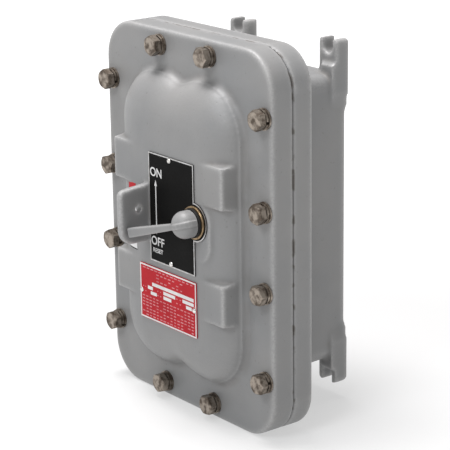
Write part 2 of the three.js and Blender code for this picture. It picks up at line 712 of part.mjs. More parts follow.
// Pieces on the shaft are built with the lever level and turned to rest about the shaft's axis.
const turning = new THREE.Group();
turning.position.set(SHAFT_X, 0, SHAFT_Z);
turning.rotation.y = LEVER_REST * DEG;
assembly.add(turning);

function operatingHandle() {
  const top = HUB_BACK - HUB_SKIRT;
  const profile = [new THREE.Vector2(0, HUB_BACK), new THREE.Vector2(HUB_R, HUB_BACK)];
  for (let i = 0; i <= 5; i++) {
    const a = (i / 5) * (Math.PI / 2);
    profile.push(new THREE.Vector2(HUB_R * Math.cos(a), top - HUB_DOME * Math.sin(a)));
  }
  profile.reverse();
  profile[0].x = 0;
  const hub = solid(new THREE.LatheGeometry(profile, 24));
  const blade = new THREE.Shape();
  blade.moveTo(LEVER_STUB, -LEVER_ROOT_H / 2);
  blade.lineTo(LEVER_STUB, LEVER_ROOT_H / 2);
  blade.lineTo(-HUB_R, LEVER_ROOT_H / 2);
  blade.lineTo(-LEVER_REACH, LEVER_TIP_H / 2);
  blade.lineTo(-LEVER_REACH, -LEVER_TIP_H / 2);
  blade.lineTo(-HUB_R, -LEVER_ROOT_H / 2);
  const bar = new THREE.ExtrudeGeometry(blade, {
    depth: LEVER_T - 2 * LEVER_BEVEL,
    bevelThickness: LEVER_BEVEL,
    bevelSize: LEVER_BEVEL,
    bevelOffset: -LEVER_BEVEL,
    bevelSegments: 1,
  });
  bar.rotateX(Math.PI / 2).translate(0, LEVER_Y - LEVER_BEVEL, 0);
  const p = bar.attributes.position;
  for (let i = 0; i < p.count; i++) {
    const out = THREE.MathUtils.clamp(-p.getX(i) / LEVER_REACH, 0, 1);
    p.setY(i, p.getY(i) - LEVER_LEAN * out);
  }
  const bore = rodY(SHAFT_R + GAP, 0, 0, HUB_BACK - HUB_BORE_DEPTH, HUB_BACK + EPS, 16);
  const pinHole = rodZ(PIN_R + GAP, 0, HANDLE_PIN_Y, -HUB_R - EPS, HUB_R + EPS, 10);
  return cut(join(hub, solid(bar)), bore, pinHole);
}

const pinHalf = HUB_R - PIN_SHORT;
const shaftRod = rodY(SHAFT_R, 0, 0, HUB_BACK - HUB_BORE_DEPTH + GAP, CRANK_BACK - SHAFT_SHORT, 24);
const shaftCross = rodZ(PIN_R + GAP, 0, HANDLE_PIN_Y, -SHAFT_R - EPS, SHAFT_R + EPS, 10);
place("operating_shaft", shaftRod.subtract(shaftCross), finish.stainless, turning);
place("operating_handle", operatingHandle(), finish.paint, turning);
place("handle_pin", rodZ(PIN_R, 0, HANDLE_PIN_Y, -pinHalf, pinHalf, 10), finish.stainless, turning);
place(
  "shaft_retaining_ring",
  ringY(RING_R, SHAFT_R + GAP, 0, 0, INNER_BOSS_END + GAP, INNER_BOSS_END + GAP + RING_T, 20),
  finish.stainless,
  turning,
);

function driveCrank() {
  const s = new THREE.Shape();
  s.absarc(0, 0, CRANK_HUB_R, -Math.PI / 2, Math.PI / 2, false);
  s.absarc(-CRANK_REACH, 0, CRANK_PIN_R + CRANK_EYE, Math.PI / 2, Math.PI * 1.5, false);
  const arm = frontPlate(s, CRANK_BACK, CRANK_T, 0, 1, 8);
  const pin = rodY(CRANK_PIN_R, -CRANK_REACH, 0, CRANK_BACK - EPS, CRANK_PIN_BACK, 12);
  return cut(join(arm, pin), rodY(SHAFT_R + GAP, 0, 0, CRANK_FACE - EPS, CRANK_BACK + EPS, 16));
}

place("drive_crank", driveCrank(), finish.zinc, turning);

// ---------- Switch mechanism and blades ----------
// Built with the yoke level and the blades upright, about the rotor's own axis.
const rotor = new THREE.Group();
rotor.position.set(0, ROTOR_Y, SHAFT_Z);
assembly.add(rotor);
const rotorHalf = BASE_X - ROTOR_SHORT;
place("rotor_shaft", rodX(ROTOR_R, 0, 0, -rotorHalf, rotorHalf, 20), finish.phenolic, rotor);

function driveYoke() {
  const slot = CRANK_PIN_R + CRANK_PIN_PLAY;
  const high = slot + FORK_WALL;
  const hub = rodX(ROTOR_R + YOKE_HUB_WALL, 0, 0, YOKE_X - YOKE_T / 2, YOKE_X + YOKE_T / 2, 20);
  const half = YOKE_ARM_H / 2;
  const forkEnd = -YOKE_REACH + FORK_DEPTH + FORK_FLOOR;
  const arm = box(YOKE_X - YOKE_T / 2, YOKE_X + YOKE_T / 2, forkEnd - EPS, -ROTOR_R - EPS, -half, half);
  const fork = box(YOKE_X - FORK_W / 2, YOKE_X + FORK_W / 2, -YOKE_REACH, forkEnd, -high, high);
  const mouth = box(
    YOKE_X - FORK_W / 2 - EPS,
    YOKE_X + FORK_W / 2 + EPS,
    -YOKE_REACH - EPS,
    -YOKE_REACH + FORK_DEPTH,
    -slot,
    slot,
  );
  const bore = rodX(ROTOR_R + GAP, 0, 0, YOKE_X - YOKE_T, YOKE_X + YOKE_T, 20);
  return cut(join(hub, arm, fork), mouth, bore);
}

const yokeMesh = place("drive_yoke", driveYoke(), finish.zinc, rotor);
yokeMesh.rotation.x = -YOKE_REST;

function switchBlade(x) {
  const tip = JAW_Z + JAW_H / 2 - BLADE_SHORT - SHAFT_Z;
  const s = new THREE.Shape();
  s.absarc(0, 0, ROTOR_R + COLLAR_WALL, Math.PI, 0, true);
  s.lineTo(BLADE_W / 2, -BLADE_TAIL);
  s.lineTo(-BLADE_W / 2, -BLADE_TAIL);
  const collar = sidePlate(s, x - BLADE_T / 2, BLADE_T, 6);
  const blade = box(x - BLADE_T / 2, x + BLADE_T / 2, -BLADE_W / 2, BLADE_W / 2, 0, tip);
  return cut(join(collar, blade), rodX(ROTOR_R + GAP, 0, 0, x - BLADE_T, x + BLADE_T, 20));
}

POLE_X.forEach((x, i) => {
  const mesh = place("switch_blade_" + (i + 1), switchBlade(x), finish.copper, rotor);
  mesh.rotation.x = BLADE_REST * DEG;
});

// ---------- Fixed switch parts ----------
function mountingPan() {
  let pan = frontPlate(roundedRect(PAN_X, PAN_Z, PAN_R), PAN_BACK, PAN_T, 0, 1, 3);
  for (const sideX of [-1, 1]) {
    for (const sideZ of [-1, 1]) {
      const [x, z] = [sideX * (PAN_X - PAN_HOLE_INSET), sideZ * (PAN_Z - PAN_HOLE_INSET)];
      pan = pan.subtract(rodY(PAN_HOLE_R, x, z, PAN_FACE - EPS, PAN_BACK + EPS, 10));
    }
  }
  return pan;
}

function switchBase() {
  const [low, high] = [SPLIT_Z, LINE_END + BASE_MARGIN];
  let base = box(-BASE_X, BASE_X, BASE_FACE, BASE_BACK, low, high);
  for (const side of [-1, 1]) {
    const [x0, x1] = side > 0 ? [BASE_X - CHEEK_T, BASE_X] : [-BASE_X, -BASE_X + CHEEK_T];
    const bar = side * (POLE_PITCH / 2);
    const cheekTop = ROTOR_Y - ROTOR_R - CHEEK_CAP;
    base = base.add(box(x0, x1, cheekTop, BASE_FACE + EPS, SHAFT_Z - CHEEK_H / 2, SHAFT_Z + CHEEK_H / 2));
    base = base.subtract(rodX(ROTOR_R + BEARING_PLAY, ROTOR_Y, SHAFT_Z, x0 - EPS, x1 + EPS, 20));
    const zBar = SHAFT_Z + ROTOR_R + BARRIER_OFF;
    const [b0, b1] = [bar - BARRIER_T / 2, bar + BARRIER_T / 2];
    base = base.add(box(b0, b1, BASE_FACE - BARRIER_RISE, BASE_FACE + EPS, zBar, high));
  }
  return base;
}

function fuseBase() {
  const [low, high] = [LOAD_END - BASE_MARGIN, SPLIT_Z - GAP];
  let base = box(-BASE_X, BASE_X, BASE_FACE, BASE_BACK, low, high);
  for (const side of [-1, 1]) {
    const bar = side * (POLE_PITCH / 2);
    const [x0, x1] = [bar - BARRIER_T / 2, bar + BARRIER_T / 2];
    base = base.add(box(x0, x1, BASE_FACE - BARRIER_RISE, BASE_FACE + EPS, low, high - BASE_MARGIN));
  }
  return base;
}

const STRIP_BACK = BASE_FACE - GAP;
const STRIP_FACE = STRIP_BACK - STRIP_T;

function lugBlock(x, low) {
  const half = TERMINAL / 2;
  const block = box(x - half, x + half, STRIP_FACE - TERMINAL, STRIP_BACK, low, low + TERMINAL);
  const wire = rodZ(LUG_WIRE_R, x, STRIP_FACE - half, low - EPS, low + TERMINAL + EPS, 12);
  const screw = rodY(LUG_SCREW_R, x, low + half, STRIP_FACE - TERMINAL - EPS, STRIP_FACE - half, 10);
  return cut(block, wire, screw);
}

// Pair of plates that a blade passes between.
function jaw(x, z, height, reach) {
  const inner = BLADE_T / 2 + GAP;
  const [z0, z1] = [z - height / 2, z + height / 2];
  const left = box(x - inner - JAW_T, x - inner, STRIP_FACE - reach, STRIP_BACK, z0, z1);
  const right = box(x + inner, x + inner + JAW_T, STRIP_FACE - reach, STRIP_BACK, z0, z1);
  return left.add(right);
}

// Open C of spring metal round a fuse ferrule.
function fuseClip(x, z) {
  const inner = FUSE_R + FERRULE_PROUD + GAP;
  const outer = inner + CLIP_T;
  const ring = rodZ(outer, x, FUSE_Y, z - CLIP_W / 2, z + CLIP_W / 2, CLIP_SIDES);
  const half = CLIP_FOOT_W / 2;
  const foot = box(x - half, x + half, FUSE_Y + inner, STRIP_BACK, z - CLIP_W / 2, z + CLIP_W / 2);
  const mouthEnd = FUSE_Y - inner * CLIP_MOUTH;
  const mouth = box(x - outer, x + outer, FUSE_Y - outer - EPS, mouthEnd, z - CLIP_W, z + CLIP_W);
  return cut(join(ring, foot), rodZ(inner, x, FUSE_Y, z - CLIP_W, z + CLIP_W, CLIP_SIDES), mouth);
}

const clipTopZ = FUSE_Z + FUSE_LENGTH / 2 - FERRULE / 2;
const clipLowZ = FUSE_Z - FUSE_LENGTH / 2 + FERRULE / 2;
const hingeZ = SHAFT_Z - ROTOR_R - HINGE_DROP;

function strip(x, low, high) {
  return box(x - STRIP_W / 2, x + STRIP_W / 2, STRIP_FACE, STRIP_BACK, low, high);
}

function cartridgeFuse(x) {
  const [low, high] = [FUSE_Z - FUSE_LENGTH / 2, FUSE_Z + FUSE_LENGTH / 2];
  const tube = rodZ(FUSE_R, x, FUSE_Y, low + EPS, high - EPS, CLIP_SIDES);
  const cap = FUSE_R + FERRULE_PROUD;
  const lowCap = rodZ(cap, x, FUSE_Y, low, low + FERRULE, CLIP_SIDES);
  return join(tube, lowCap, rodZ(cap, x, FUSE_Y, high - FERRULE, high, CLIP_SIDES));
}

place("mounting_pan", mountingPan(), finish.zinc);
place("switch_base", switchBase(), finish.phenolic);
place("fuse_base", fuseBase(), finish.phenolic);
POLE_X.forEach((x, i) => {
  const number = i + 1;
  const lineLow = LINE_END - TERMINAL;
  const lineStrip = strip(x, JAW_Z - JAW_H / 2, LINE_END);
  const lineParts = [lineStrip, lugBlock(x, lineLow), jaw(x, JAW_Z, JAW_H, JAW_REACH)];
  const hingeStrip = strip(x, clipTopZ - STRIP_SPARE, hingeZ + HINGE_H / 2);
  const hingeParts = [hingeStrip, jaw(x, hingeZ, HINGE_H, JAW_REACH), fuseClip(x, clipTopZ)];
  const loadParts = [strip(x, LOAD_END, clipLowZ + STRIP_SPARE), lugBlock(x, LOAD_END), fuseClip(x, clipLowZ)];
  place("line_terminal_" + number, join(...lineParts), finish.copper);
  place("hinge_terminal_" + number, join(...hingeParts), finish.copper);
  place("load_terminal_" + number, join(...loadParts), finish.copper);
  place("cartridge_fuse_" + number, cartridgeFuse(x), finish.fuseTube);
});

export default assembly;
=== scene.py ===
# %% [markdown]
# # A fused disconnect switch in a cast housing
# The real object is a heavy aluminium box with a bolted cover. A short lever on the cover works a
# three-pole switch and three fuses inside. The CAD frame already holds every piece at its true size,
# so this lesson only makes the pieces look like what they are: sand castings with soft fillets under
# grey enamel, stained stainless bolts, two printed plates and a cast lever.

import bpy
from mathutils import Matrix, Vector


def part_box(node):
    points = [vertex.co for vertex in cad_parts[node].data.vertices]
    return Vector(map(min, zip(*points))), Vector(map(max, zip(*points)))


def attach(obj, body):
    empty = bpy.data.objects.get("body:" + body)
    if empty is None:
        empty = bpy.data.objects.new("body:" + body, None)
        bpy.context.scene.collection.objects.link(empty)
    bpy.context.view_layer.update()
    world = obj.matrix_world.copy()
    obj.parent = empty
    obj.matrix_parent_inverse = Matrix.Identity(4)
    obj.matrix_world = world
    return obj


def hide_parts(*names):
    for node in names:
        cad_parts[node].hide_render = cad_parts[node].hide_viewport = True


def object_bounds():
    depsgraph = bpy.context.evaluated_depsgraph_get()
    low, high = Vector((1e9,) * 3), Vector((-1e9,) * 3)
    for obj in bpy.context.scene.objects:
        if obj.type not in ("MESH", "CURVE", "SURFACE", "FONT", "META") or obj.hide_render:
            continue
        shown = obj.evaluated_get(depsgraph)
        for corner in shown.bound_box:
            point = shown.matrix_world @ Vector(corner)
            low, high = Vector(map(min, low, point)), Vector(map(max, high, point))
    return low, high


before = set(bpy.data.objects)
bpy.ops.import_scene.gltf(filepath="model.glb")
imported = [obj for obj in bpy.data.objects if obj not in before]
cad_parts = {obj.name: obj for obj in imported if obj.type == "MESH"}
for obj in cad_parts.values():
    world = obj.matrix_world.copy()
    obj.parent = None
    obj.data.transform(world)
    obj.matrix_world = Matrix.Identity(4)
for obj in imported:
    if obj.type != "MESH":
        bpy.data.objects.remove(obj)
cad_low, cad_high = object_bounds()

# %% Modules and units
import math

import bmesh
import bpy
import numpy as np
from mathutils import Matrix, Vector

mm = 0.001
GAP = 0.3 * mm  # clearance between pieces that touch

# %% [markdown]
# ## Measures that the frame gives
# Faces and centres are read from the boxes of CAD nodes, so that every new piece fits its neighbours
# without fitting by eye.

# %% Faces and centres
cover_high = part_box("cover")[1]
HALF_W = cover_high.x
HALF_H = cover_high.z
COVER_BACK = cover_high.y
COVER_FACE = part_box("cover_washer_01")[1].y + GAP
PAD_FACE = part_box("on_off_plate")[1].y + GAP
BODY_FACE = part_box("enclosure_body")[0].y


def centre_of(node):
    """Middle of a CAD node's box."""
    low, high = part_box(node)
    return (low + high) / 2


SHAFT = centre_of("shaft_bushing")
print("cover face at", round(COVER_FACE / mm, 1), "mm, pad face at", round(PAD_FACE / mm, 1), "mm")

# %% [markdown]
# ## Camera
# A long lens from the right, a little above the housing. A long lens keeps the edges almost parallel,
# as in catalogue views. The camera is placed on a sphere round the middle of the cover and then turned
# by small angles, so that the object sits in the frame.

# %% Camera
VIEW_AZIMUTH = math.radians(53.352)
VIEW_ELEVATION = math.radians(16.591)
VIEW_DISTANCE = 1.961
VIEW_TURN = math.radians(-1.188)
VIEW_TILT = math.radians(0.009)
VIEW_ROLL = math.radians(-0.801)
LENS = 149.6


def outward(azimuth, elevation):
    """Unit vector from the object towards a viewer at those angles."""
    flat = math.cos(elevation)
    return Vector((math.sin(azimuth) * flat, -math.cos(azimuth) * flat, math.sin(elevation)))


def camera_matrix():
    back = outward(VIEW_AZIMUTH + VIEW_TURN, VIEW_ELEVATION + VIEW_TILT)
    right = Vector((0, 0, 1)).cross(back).normalized()
    up = back.cross(right)
    rolled = Matrix.Rotation(VIEW_ROLL, 3, back)
    turn = Matrix((rolled @ right, rolled @ up, back)).transposed()
    place = Vector((0, COVER_FACE, 0)) + VIEW_DISTANCE * outward(VIEW_AZIMUTH, VIEW_ELEVATION)
    return Matrix.Translation(place) @ turn.to_4x4()


camera_data = bpy.data.cameras.new("camera")
camera_data.lens = LENS
camera = bpy.data.objects.new("camera", camera_data)
camera.matrix_world = camera_matrix()
bpy.context.scene.collection.objects.link(camera)
bpy.context.scene.camera = camera
print("camera at", [round(x, 3) for x in camera.matrix_world.translation])

# %% [markdown]
# ## Light and floor
# One large soft light in front and above gives the broad shine on the dome. A light overhead makes the
# upward faces pale, and a weak warm one lifts the right side. The floor is plain and pale.

# %% Lights
MIDDLE = (cad_low + cad_high) / 2


def soft_light(name, direction, distance, size, power, colour):
    """Square area light that looks at the middle of the object."""
    data = bpy.data.lights.new(name, "AREA")
    data.size = size
    data.energy = power
    data.color = colour
    lamp = bpy.data.objects.new(name, data)
    away = Vector(direction).normalized()
    turn = away.to_track_quat("Z", "Y").to_matrix().to_4x4()
    lamp.matrix_world = Matrix.Translation(MIDDLE + distance * away) @ turn
    bpy.context.scene.collection.objects.link(lamp)


soft_light("key", (0.17, -0.75, 0.65), 3.4, 1.0, 34, (0.96, 0.98, 1.0))
soft_light("overhead", (-0.15, -0.1, 1.0), 2.0, 0.9, 54, (1.0, 0.98, 0.98))
soft_light("side", (1.0, -0.35, 0.15), 2.6, 1.2, 1.6, (1.0, 0.94, 0.88))

WORLD_STRENGTH = 0.42
world = bpy.data.worlds.new("studio")
world.use_nodes = True
background = world.node_tree.nodes["Background"]
background.inputs["Color"].default_value = (1.0, 1.0, 1.0, 1.0)
background.inputs["Strength"].default_value = WORLD_STRENGTH
bpy.context.scene.world = world
bpy.context.scene.view_settings.view_transform = "Standard"

# %% [markdown]
# ## Node trees as Python
# A shader is easier to read as arithmetic than as wires. `Socket` wraps one output of a node: adding or
# multiplying two of them adds a Math node. `Tree.make` makes every other node from its type, its
# settings and what goes into its inputs.


# %% Sockets and trees
class Socket:
    """An output of a node. Arithmetic on it adds Math nodes to its tree."""

    def __init__(self, socket):
        self.socket = socket

    def math(self, operation, *others, clamp=False):
        settings = {"operation": operation, "use_clamp": clamp}
        return Tree(self.socket.id_data).make("ShaderNodeMath", settings, dict(enumerate((self, *others))))

    def __add__(self, other):
        return self.math("ADD", other)

    def __sub__(self, other):
        return self.math("SUBTRACT", other)

    def __rsub__(self, other):
        return self.math("MULTIPLY", -1.0) + other

    def __mul__(self, other):
        return self.math("MULTIPLY", other)

    def __truediv__(self, other):
        return self.math("DIVIDE", other)

    def __gt__(self, level):
        return self.math("GREATER_THAN", level)

    __radd__ = __add__
    __rmul__ = __mul__

    def between(self, low, high):
        """0 below low, 1 above high, and a straight ramp in between."""
        return ((self - low) * (1 / (high - low))).math("ADD", 0.0, clamp=True)


class Tree:
    """A node tree that is being built."""

    def __init__(self, tree):
        self.tree = tree

    def make(self, kind, settings=None, inputs=None, out=0):
        """Adds a node: its type, its settings, the values or sockets of its inputs, and its output."""
        node = self.tree.nodes.new(kind)
        for name, value in (settings or {}).items():
            setattr(node, name, value)
        for name, value in (inputs or {}).items():
            for item in value if isinstance(value, list) else [value]:
                if isinstance(item, Socket):
                    self.tree.links.new(item.socket, node.inputs[name])
                else:
                    node.inputs[name].default_value = item
        return Socket(node.outputs[out]) if node.outputs else None

    def noise(self, where, size, detail=2.0):
        """Noise with lumps about size metres across, from 0 to 1."""
        inputs = {"Vector": where, "Scale": 1 / size, "Detail": detail}
        return self.make("ShaderNodeTexNoise", None, inputs)

    def mix(self, share, first, second):
        """Colour that goes from first to second as share goes from 0 to 1."""
        inputs = {"Factor": share, 6: first, 7: second}
        return self.make("ShaderNodeMix", {"data_type": "RGBA"}, inputs, out=2)


# %% Start and end of a material
def start_material(name):
    """New material's tree and its Object coordinates."""
    material = bpy.data.materials.new(name)
    material.use_nodes = True
    material.node_tree.nodes.clear()
    tree = Tree(material.node_tree)
    return material, tree, tree.make("ShaderNodeTexCoord", out="Object")


def end_material(tree, colour, roughness, height, depth, **fixed):
    """Principled surface whose bumps are depth metres high."""
    bump = {"Strength": 1.0, "Distance": depth, "Height": height}
    inputs = {"Base Color": colour, "Roughness": roughness, **fixed}
    inputs["Normal"] = tree.make("ShaderNodeBump", None, bump)
    surface = tree.make("ShaderNodeBsdfPrincipled", None, inputs)
    tree.make("ShaderNodeOutputMaterial", None, {"Surface": surface})


def grey(level, warmth=0.0):
    """Linear colour of one lightness, a little warmer or cooler."""
    return (level * (1 + warmth), level, level * (1 - warmth), 1.0)


# %% [markdown]
# ## Grey enamel over sand cast aluminium
# The housing and the lever are sand castings that were sprayed with grey enamel. The sand leaves a fine
# grain and shallow waves that the paint only half fills. Edges are painted pale, partly as rubbed wear
# and partly as a painted highlight, and inner corners darker, partly as dust and partly as painted shade,
# so the castings will carry two numbers on every point: `ridge`, how sharply it stands out, and `hollow`,
# how deeply it lies in. The paint reads them as attributes.


# %% Enamel
def enamel():
    material, tree, where = start_material("grey_enamel")
    cloud = tree.noise(where, 90 * mm, 3.0)
    blotch = tree.noise(where, 14 * mm, 3.0)
    sand = tree.noise(where, 2.2 * mm, 3.0)
    waves = tree.noise(where, 22 * mm, 1.0)
    pits = tree.noise(where, 3.4 * mm, 1.0).between(0.70, 0.80)
    ridge = tree.make("ShaderNodeAttribute", {"attribute_name": "ridge"}, out="Fac")
    hollow = tree.make("ShaderNodeAttribute", {"attribute_name": "hollow"}, out="Fac")
    depth = tree.make("ShaderNodeSeparateXYZ", None, {0: where}, out="Y")
    away = (depth - COVER_BACK).math("ABSOLUTE").between(1.2 * mm, 2.6 * mm)
    grime = (1 - away) * blotch.between(0.50, 0.60)
    paint = tree.mix(cloud.between(0.35, 0.65), grey(0.212, -0.014), grey(0.236, 0.008))
    paint = tree.mix(blotch.between(0.45, 0.75) * 0.10, paint, grey(0.23, 0.05))
    # Painted shade: hollows and inner corners turn darker, partly as dust and partly as the shade that falls
    # there.
    dust_and_shade = tree.mix(hollow * blotch.between(0.25, 0.6) * 0.55, paint, grey(0.11, 0.10))
    # Painted highlight: proud edges turn pale, partly as rubbed paint and partly as the highlight that light
    # puts on an edge.
    worn_and_highlit = tree.mix(ridge * away * (sand.between(0.35, 0.65) * 0.25 + 0.25), dust_and_shade, grey(0.56, 0.01))
    worn_and_highlit = tree.mix(grime * 0.8, worn_and_highlit, grey(0.07, 0.15))
    colour = tree.mix(pits * 0.35, worn_and_highlit, grey(0.14, 0.06))
    rough = 0.40 + blotch * 0.16 + hollow * 0.15
    height = sand * 0.35 + waves * 1.6 - pits * 0.5
    end_material(tree, colour, rough, height, 0.35 * mm, **{"Specular IOR Level": 0.5})
    return material


ENAMEL = enamel()

# %% [markdown]
# ## Metals
# All the bare metals share one recipe: a base colour, darker stains, fine scratches and a slightly
# uneven roughness. Only the colours and the sizes differ, so one function makes them all.


# %% Bare metals
def metal(name, base, stain, stained, roughness, grain):
    """Metal with stains over a share of it and a grain of the given size."""
    material, tree, where = start_material(name)
    blotch = tree.noise(where, 6 * mm, 4.0)
    fine = tree.noise(where, grain, 2.0)
    share = blotch.between(0.40, 0.62) * stained
    colour = tree.mix(share, base, stain)
    rough = roughness + fine * 0.12 + share * 0.25
    end_material(tree, colour, rough, fine + blotch * 2.0, 0.08 * mm, Metallic=0.9)
    return material


STAINLESS = metal("stained_stainless", (0.33, 0.285, 0.24, 1), (0.075, 0.056, 0.042, 1), 0.85, 0.28, 0.7 * mm)
BRIGHT = metal("bright_screws", (0.80, 0.79, 0.77, 1), (0.45, 0.43, 0.40, 1), 0.4, 0.20, 0.5 * mm)
BRONZE = metal("bronze", (0.46, 0.33, 0.19, 1), (0.12, 0.08, 0.05, 1), 0.6, 0.30, 0.6 * mm)
ZINC = metal("zinc_plate", (0.55, 0.55, 0.56, 1), (0.36, 0.34, 0.30, 1), 0.5, 0.32, 0.9 * mm)
COPPER = metal("plated_copper", (0.70, 0.36, 0.22, 1), (0.40, 0.16, 0.09, 1), 0.5, 0.30, 0.9 * mm)

# %% [markdown]
# ## Plates, rubber, phenolic and fuse tubes
# The plates are thin metal with a baked print. The inner parts are hidden behind the cover, yet each
# still gets the surface that it has: mottled phenolic, matt rubber and wound fibre tubes with ferrules.


# %% Prints and plastics
def coated(name, base, second, roughness, size, depth, shine=0.25):
    """Paint, ink or plastic whose colour wanders between two tones over lumps of a given size."""
    material, tree, where = start_material(name)
    cloud = tree.noise(where, size, 3.0)
    fine = tree.noise(where, size / 12, 2.0)
    colour = tree.mix(cloud.between(0.35, 0.65), base, second)
    end_material(tree, colour, roughness + fine * 0.15, fine, depth, **{"Specular IOR Level": shine})
    return material


BLACK_PRINT = coated("black_print", grey(0.0025, 0.03), grey(0.0040, 0.03), 0.62, 30 * mm, 0.02 * mm, 0.12)
RED_PRINT = coated("red_print", (0.40, 0.010, 0.018, 1), (0.46, 0.014, 0.022, 1), 0.62, 25 * mm, 0.03 * mm)
PALE_PRINT = coated("pale_print", grey(0.62), grey(0.70), 0.45, 12 * mm, 0.02 * mm)
PINK_PRINT = coated("pink_print", (0.50, 0.16, 0.18, 1), (0.60, 0.26, 0.28, 1), 0.45, 9 * mm, 0.02 * mm)
RUBBER = coated("rubber", grey(0.010), grey(0.018, 0.02), 0.70, 8 * mm, 0.05 * mm)
PHENOLIC = coated("phenolic", (0.040, 0.018, 0.010, 1), (0.075, 0.034, 0.018, 1), 0.45, 5 * mm, 0.06 * mm)


def fuse_tube():
    """Wound fibre between two plated ferrules, told apart by their place along the fuse."""
    material, tree, where = start_material("fuse_tube")
    low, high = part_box("cartridge_fuse_1")
    ferrule = 13 * mm
    split = tree.make("ShaderNodeSeparateXYZ", None, {0: where}, out="Z")
    capped = (split > high.z - ferrule) + (1 - (split > low.z + ferrule))
    fibre = tree.noise(where, 2 * mm, 3.0)
    paper = tree.mix(fibre, (0.60, 0.52, 0.38, 1), (0.72, 0.66, 0.52, 1))
    colour = tree.mix(capped, paper, (0.68, 0.55, 0.40, 1))
    end_material(tree, colour, 0.65 - capped * 0.35, fibre, 0.05 * mm, Metallic=capped * 0.9)
    return material


FUSE = fuse_tube()
print(len(bpy.data.materials), "materials")

# %% [markdown]
# ## Skins and castings
# A sand casting is a few plain blocks that flow into each other. The way used here copies that: each
# block is a closed skin lofted over rings of points, all the skins of one casting are fused with a
# voxel remesh, and a little smoothing turns every inner corner into a cast fillet. Machined faces,
# holes and the hollow are cut afterwards with booleans, so they stay sharp, as on the real one.


# %% Rings and lofts
def ring(half_x, half_z, radius, y, centre=(0.0, 0.0), steps=8, extra=0):
    """Rounded rectangle in the plane y, with extra points along each straight side."""
    corners = []
    for quarter, (sx, sz) in enumerate(((1, 1), (-1, 1), (-1, -1), (1, -1))):
        for i in range(steps + 1):
            angle = (quarter + i / steps) * math.pi / 2
            x = centre[0] + sx * (half_x - radius) + radius * math.cos(angle)
            z = centre[1] + sz * (half_z - radius) + radius * math.sin(angle)
            corners.append(Vector((x, y, z)))
    points = []
    for i, point in enumerate(corners):
        points.append(point)
        if (i + 1) % (steps + 1) == 0:
            after = corners[(i + 1) % len(corners)]
            points.extend(point.lerp(after, (k + 1) / (extra + 1)) for k in range(extra))
    return points


def loft(rows, closed=False):
    """Skin over rings with the same number of points, capped at both ends or closed into a loop."""
    skin = bmesh.new()
    levels = [[skin.verts.new(p) for p in row] for row in rows]
    pairs = list(zip(levels, levels[1:]))
    if closed:
        pairs.append((levels[-1], levels[0]))
    for low, high in pairs:
        for i in range(len(low)):
            j = (i + 1) % len(low)
            skin.faces.new((low[i], low[j], high[j], high[i]))
    if not closed:
        skin.faces.new(levels[0])
        skin.faces.new(levels[-1])
    bmesh.ops.recalc_face_normals(skin, faces=skin.faces)
    mesh = bpy.data.meshes.new("skin")
    skin.to_mesh(mesh)
    skin.free()
    return mesh


def rod(radius, start, end, sides=48):
    """Round bar between two points."""
    start, end = Vector(start), Vector(end)
    turn = (end - start).to_track_quat("Z", "Y").to_matrix()
    circle = [(2 * math.pi * i) / sides for i in range(sides)]
    section = [turn @ Vector((radius * math.cos(a), radius * math.sin(a), 0)) for a in circle]
    return loft([[start + p for p in section], [end + p for p in section]])


# %% Joining, fusing and cutting
def as_object(name, meshes):
    """One object that holds copies of several meshes."""
    both = bmesh.new()
    for mesh in meshes:
        both.from_mesh(mesh)
    joined = bpy.data.meshes.new(name)
    both.to_mesh(joined)
    both.free()
    piece = bpy.data.objects.new(name, joined)
    bpy.context.scene.collection.objects.link(piece)
    return piece


def settle(piece):
    """Turns a piece with its modifiers into a plain mesh."""
    graph = bpy.context.evaluated_depsgraph_get()
    mesh = bpy.data.meshes.new_from_object(piece.evaluated_get(graph))
    piece.modifiers.clear()
    piece.data = mesh
    mesh.name = piece.name
    return piece


def fuse(name, skins, voxel, rounds):
    """Fuses overlapping skins into one casting with soft fillets."""
    piece = as_object(name, skins)
    cast = piece.modifiers.new("cast", "REMESH")
    cast.mode = "VOXEL"
    cast.voxel_size = voxel
    fillets = piece.modifiers.new("fillets", "SMOOTH")
    fillets.factor = 0.5
    fillets.iterations = rounds
    return settle(piece)


def machine(piece, operation, meshes):
    """Cuts away or adds blocks that don't touch each other."""
    tool = as_object("tool", meshes)
    step = piece.modifiers.new("machine", "BOOLEAN")
    step.operation = operation
    step.solver = "MANIFOLD"
    step.object = tool
    settle(piece)
    bpy.data.objects.remove(tool)
    return piece


# %% Ridge and hollow
def point_array(mesh, field):
    values = np.empty(len(mesh.vertices) * 3)
    mesh.vertices.foreach_get(field, values)
    return values.reshape(-1, 3)


def mark_edges(piece, rounds, full):
    """Stores how far each point stands out of, or lies in, a blurred copy of the surface."""
    mesh = piece.data
    places = point_array(mesh, "co")
    normals = point_array(mesh, "normal")
    ends = np.empty(len(mesh.edges) * 2, int)
    mesh.edges.foreach_get("vertices", ends)
    first, second = ends.reshape(-1, 2).T
    count = len(places)
    degree = np.bincount(ends, minlength=count)[:, None]
    blurred = places.copy()
    for _ in range(rounds):
        total = np.zeros_like(blurred)
        for axis in range(3):
            total[:, axis] = np.bincount(first, blurred[second, axis], count)
            total[:, axis] += np.bincount(second, blurred[first, axis], count)
        blurred = (blurred + total / np.maximum(degree, 1)) / 2
    proud = ((places - blurred) * normals).sum(1) / full
    for name, values in (("ridge", proud), ("hollow", -proud)):
        store = mesh.attributes.new(name, "FLOAT", "POINT")
        store.data.foreach_set("value", np.clip(values, 0, 1).astype(np.float32))


def complete(piece, material, body, slot, *nodes, sharp=40):
    """Smooth faces with sharp edges kept, a material, a body and the CAD nodes it stands for. The slot is not
    used.
    """
    piece.data.materials.clear()
    piece.data.materials.append(material)
    piece.data.shade_smooth()
    piece.data.set_sharp_from_angle(angle=math.radians(sharp))
    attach(piece, body)
    if nodes:
        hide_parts(*nodes)
    print(piece.name, len(piece.data.polygons), "faces")


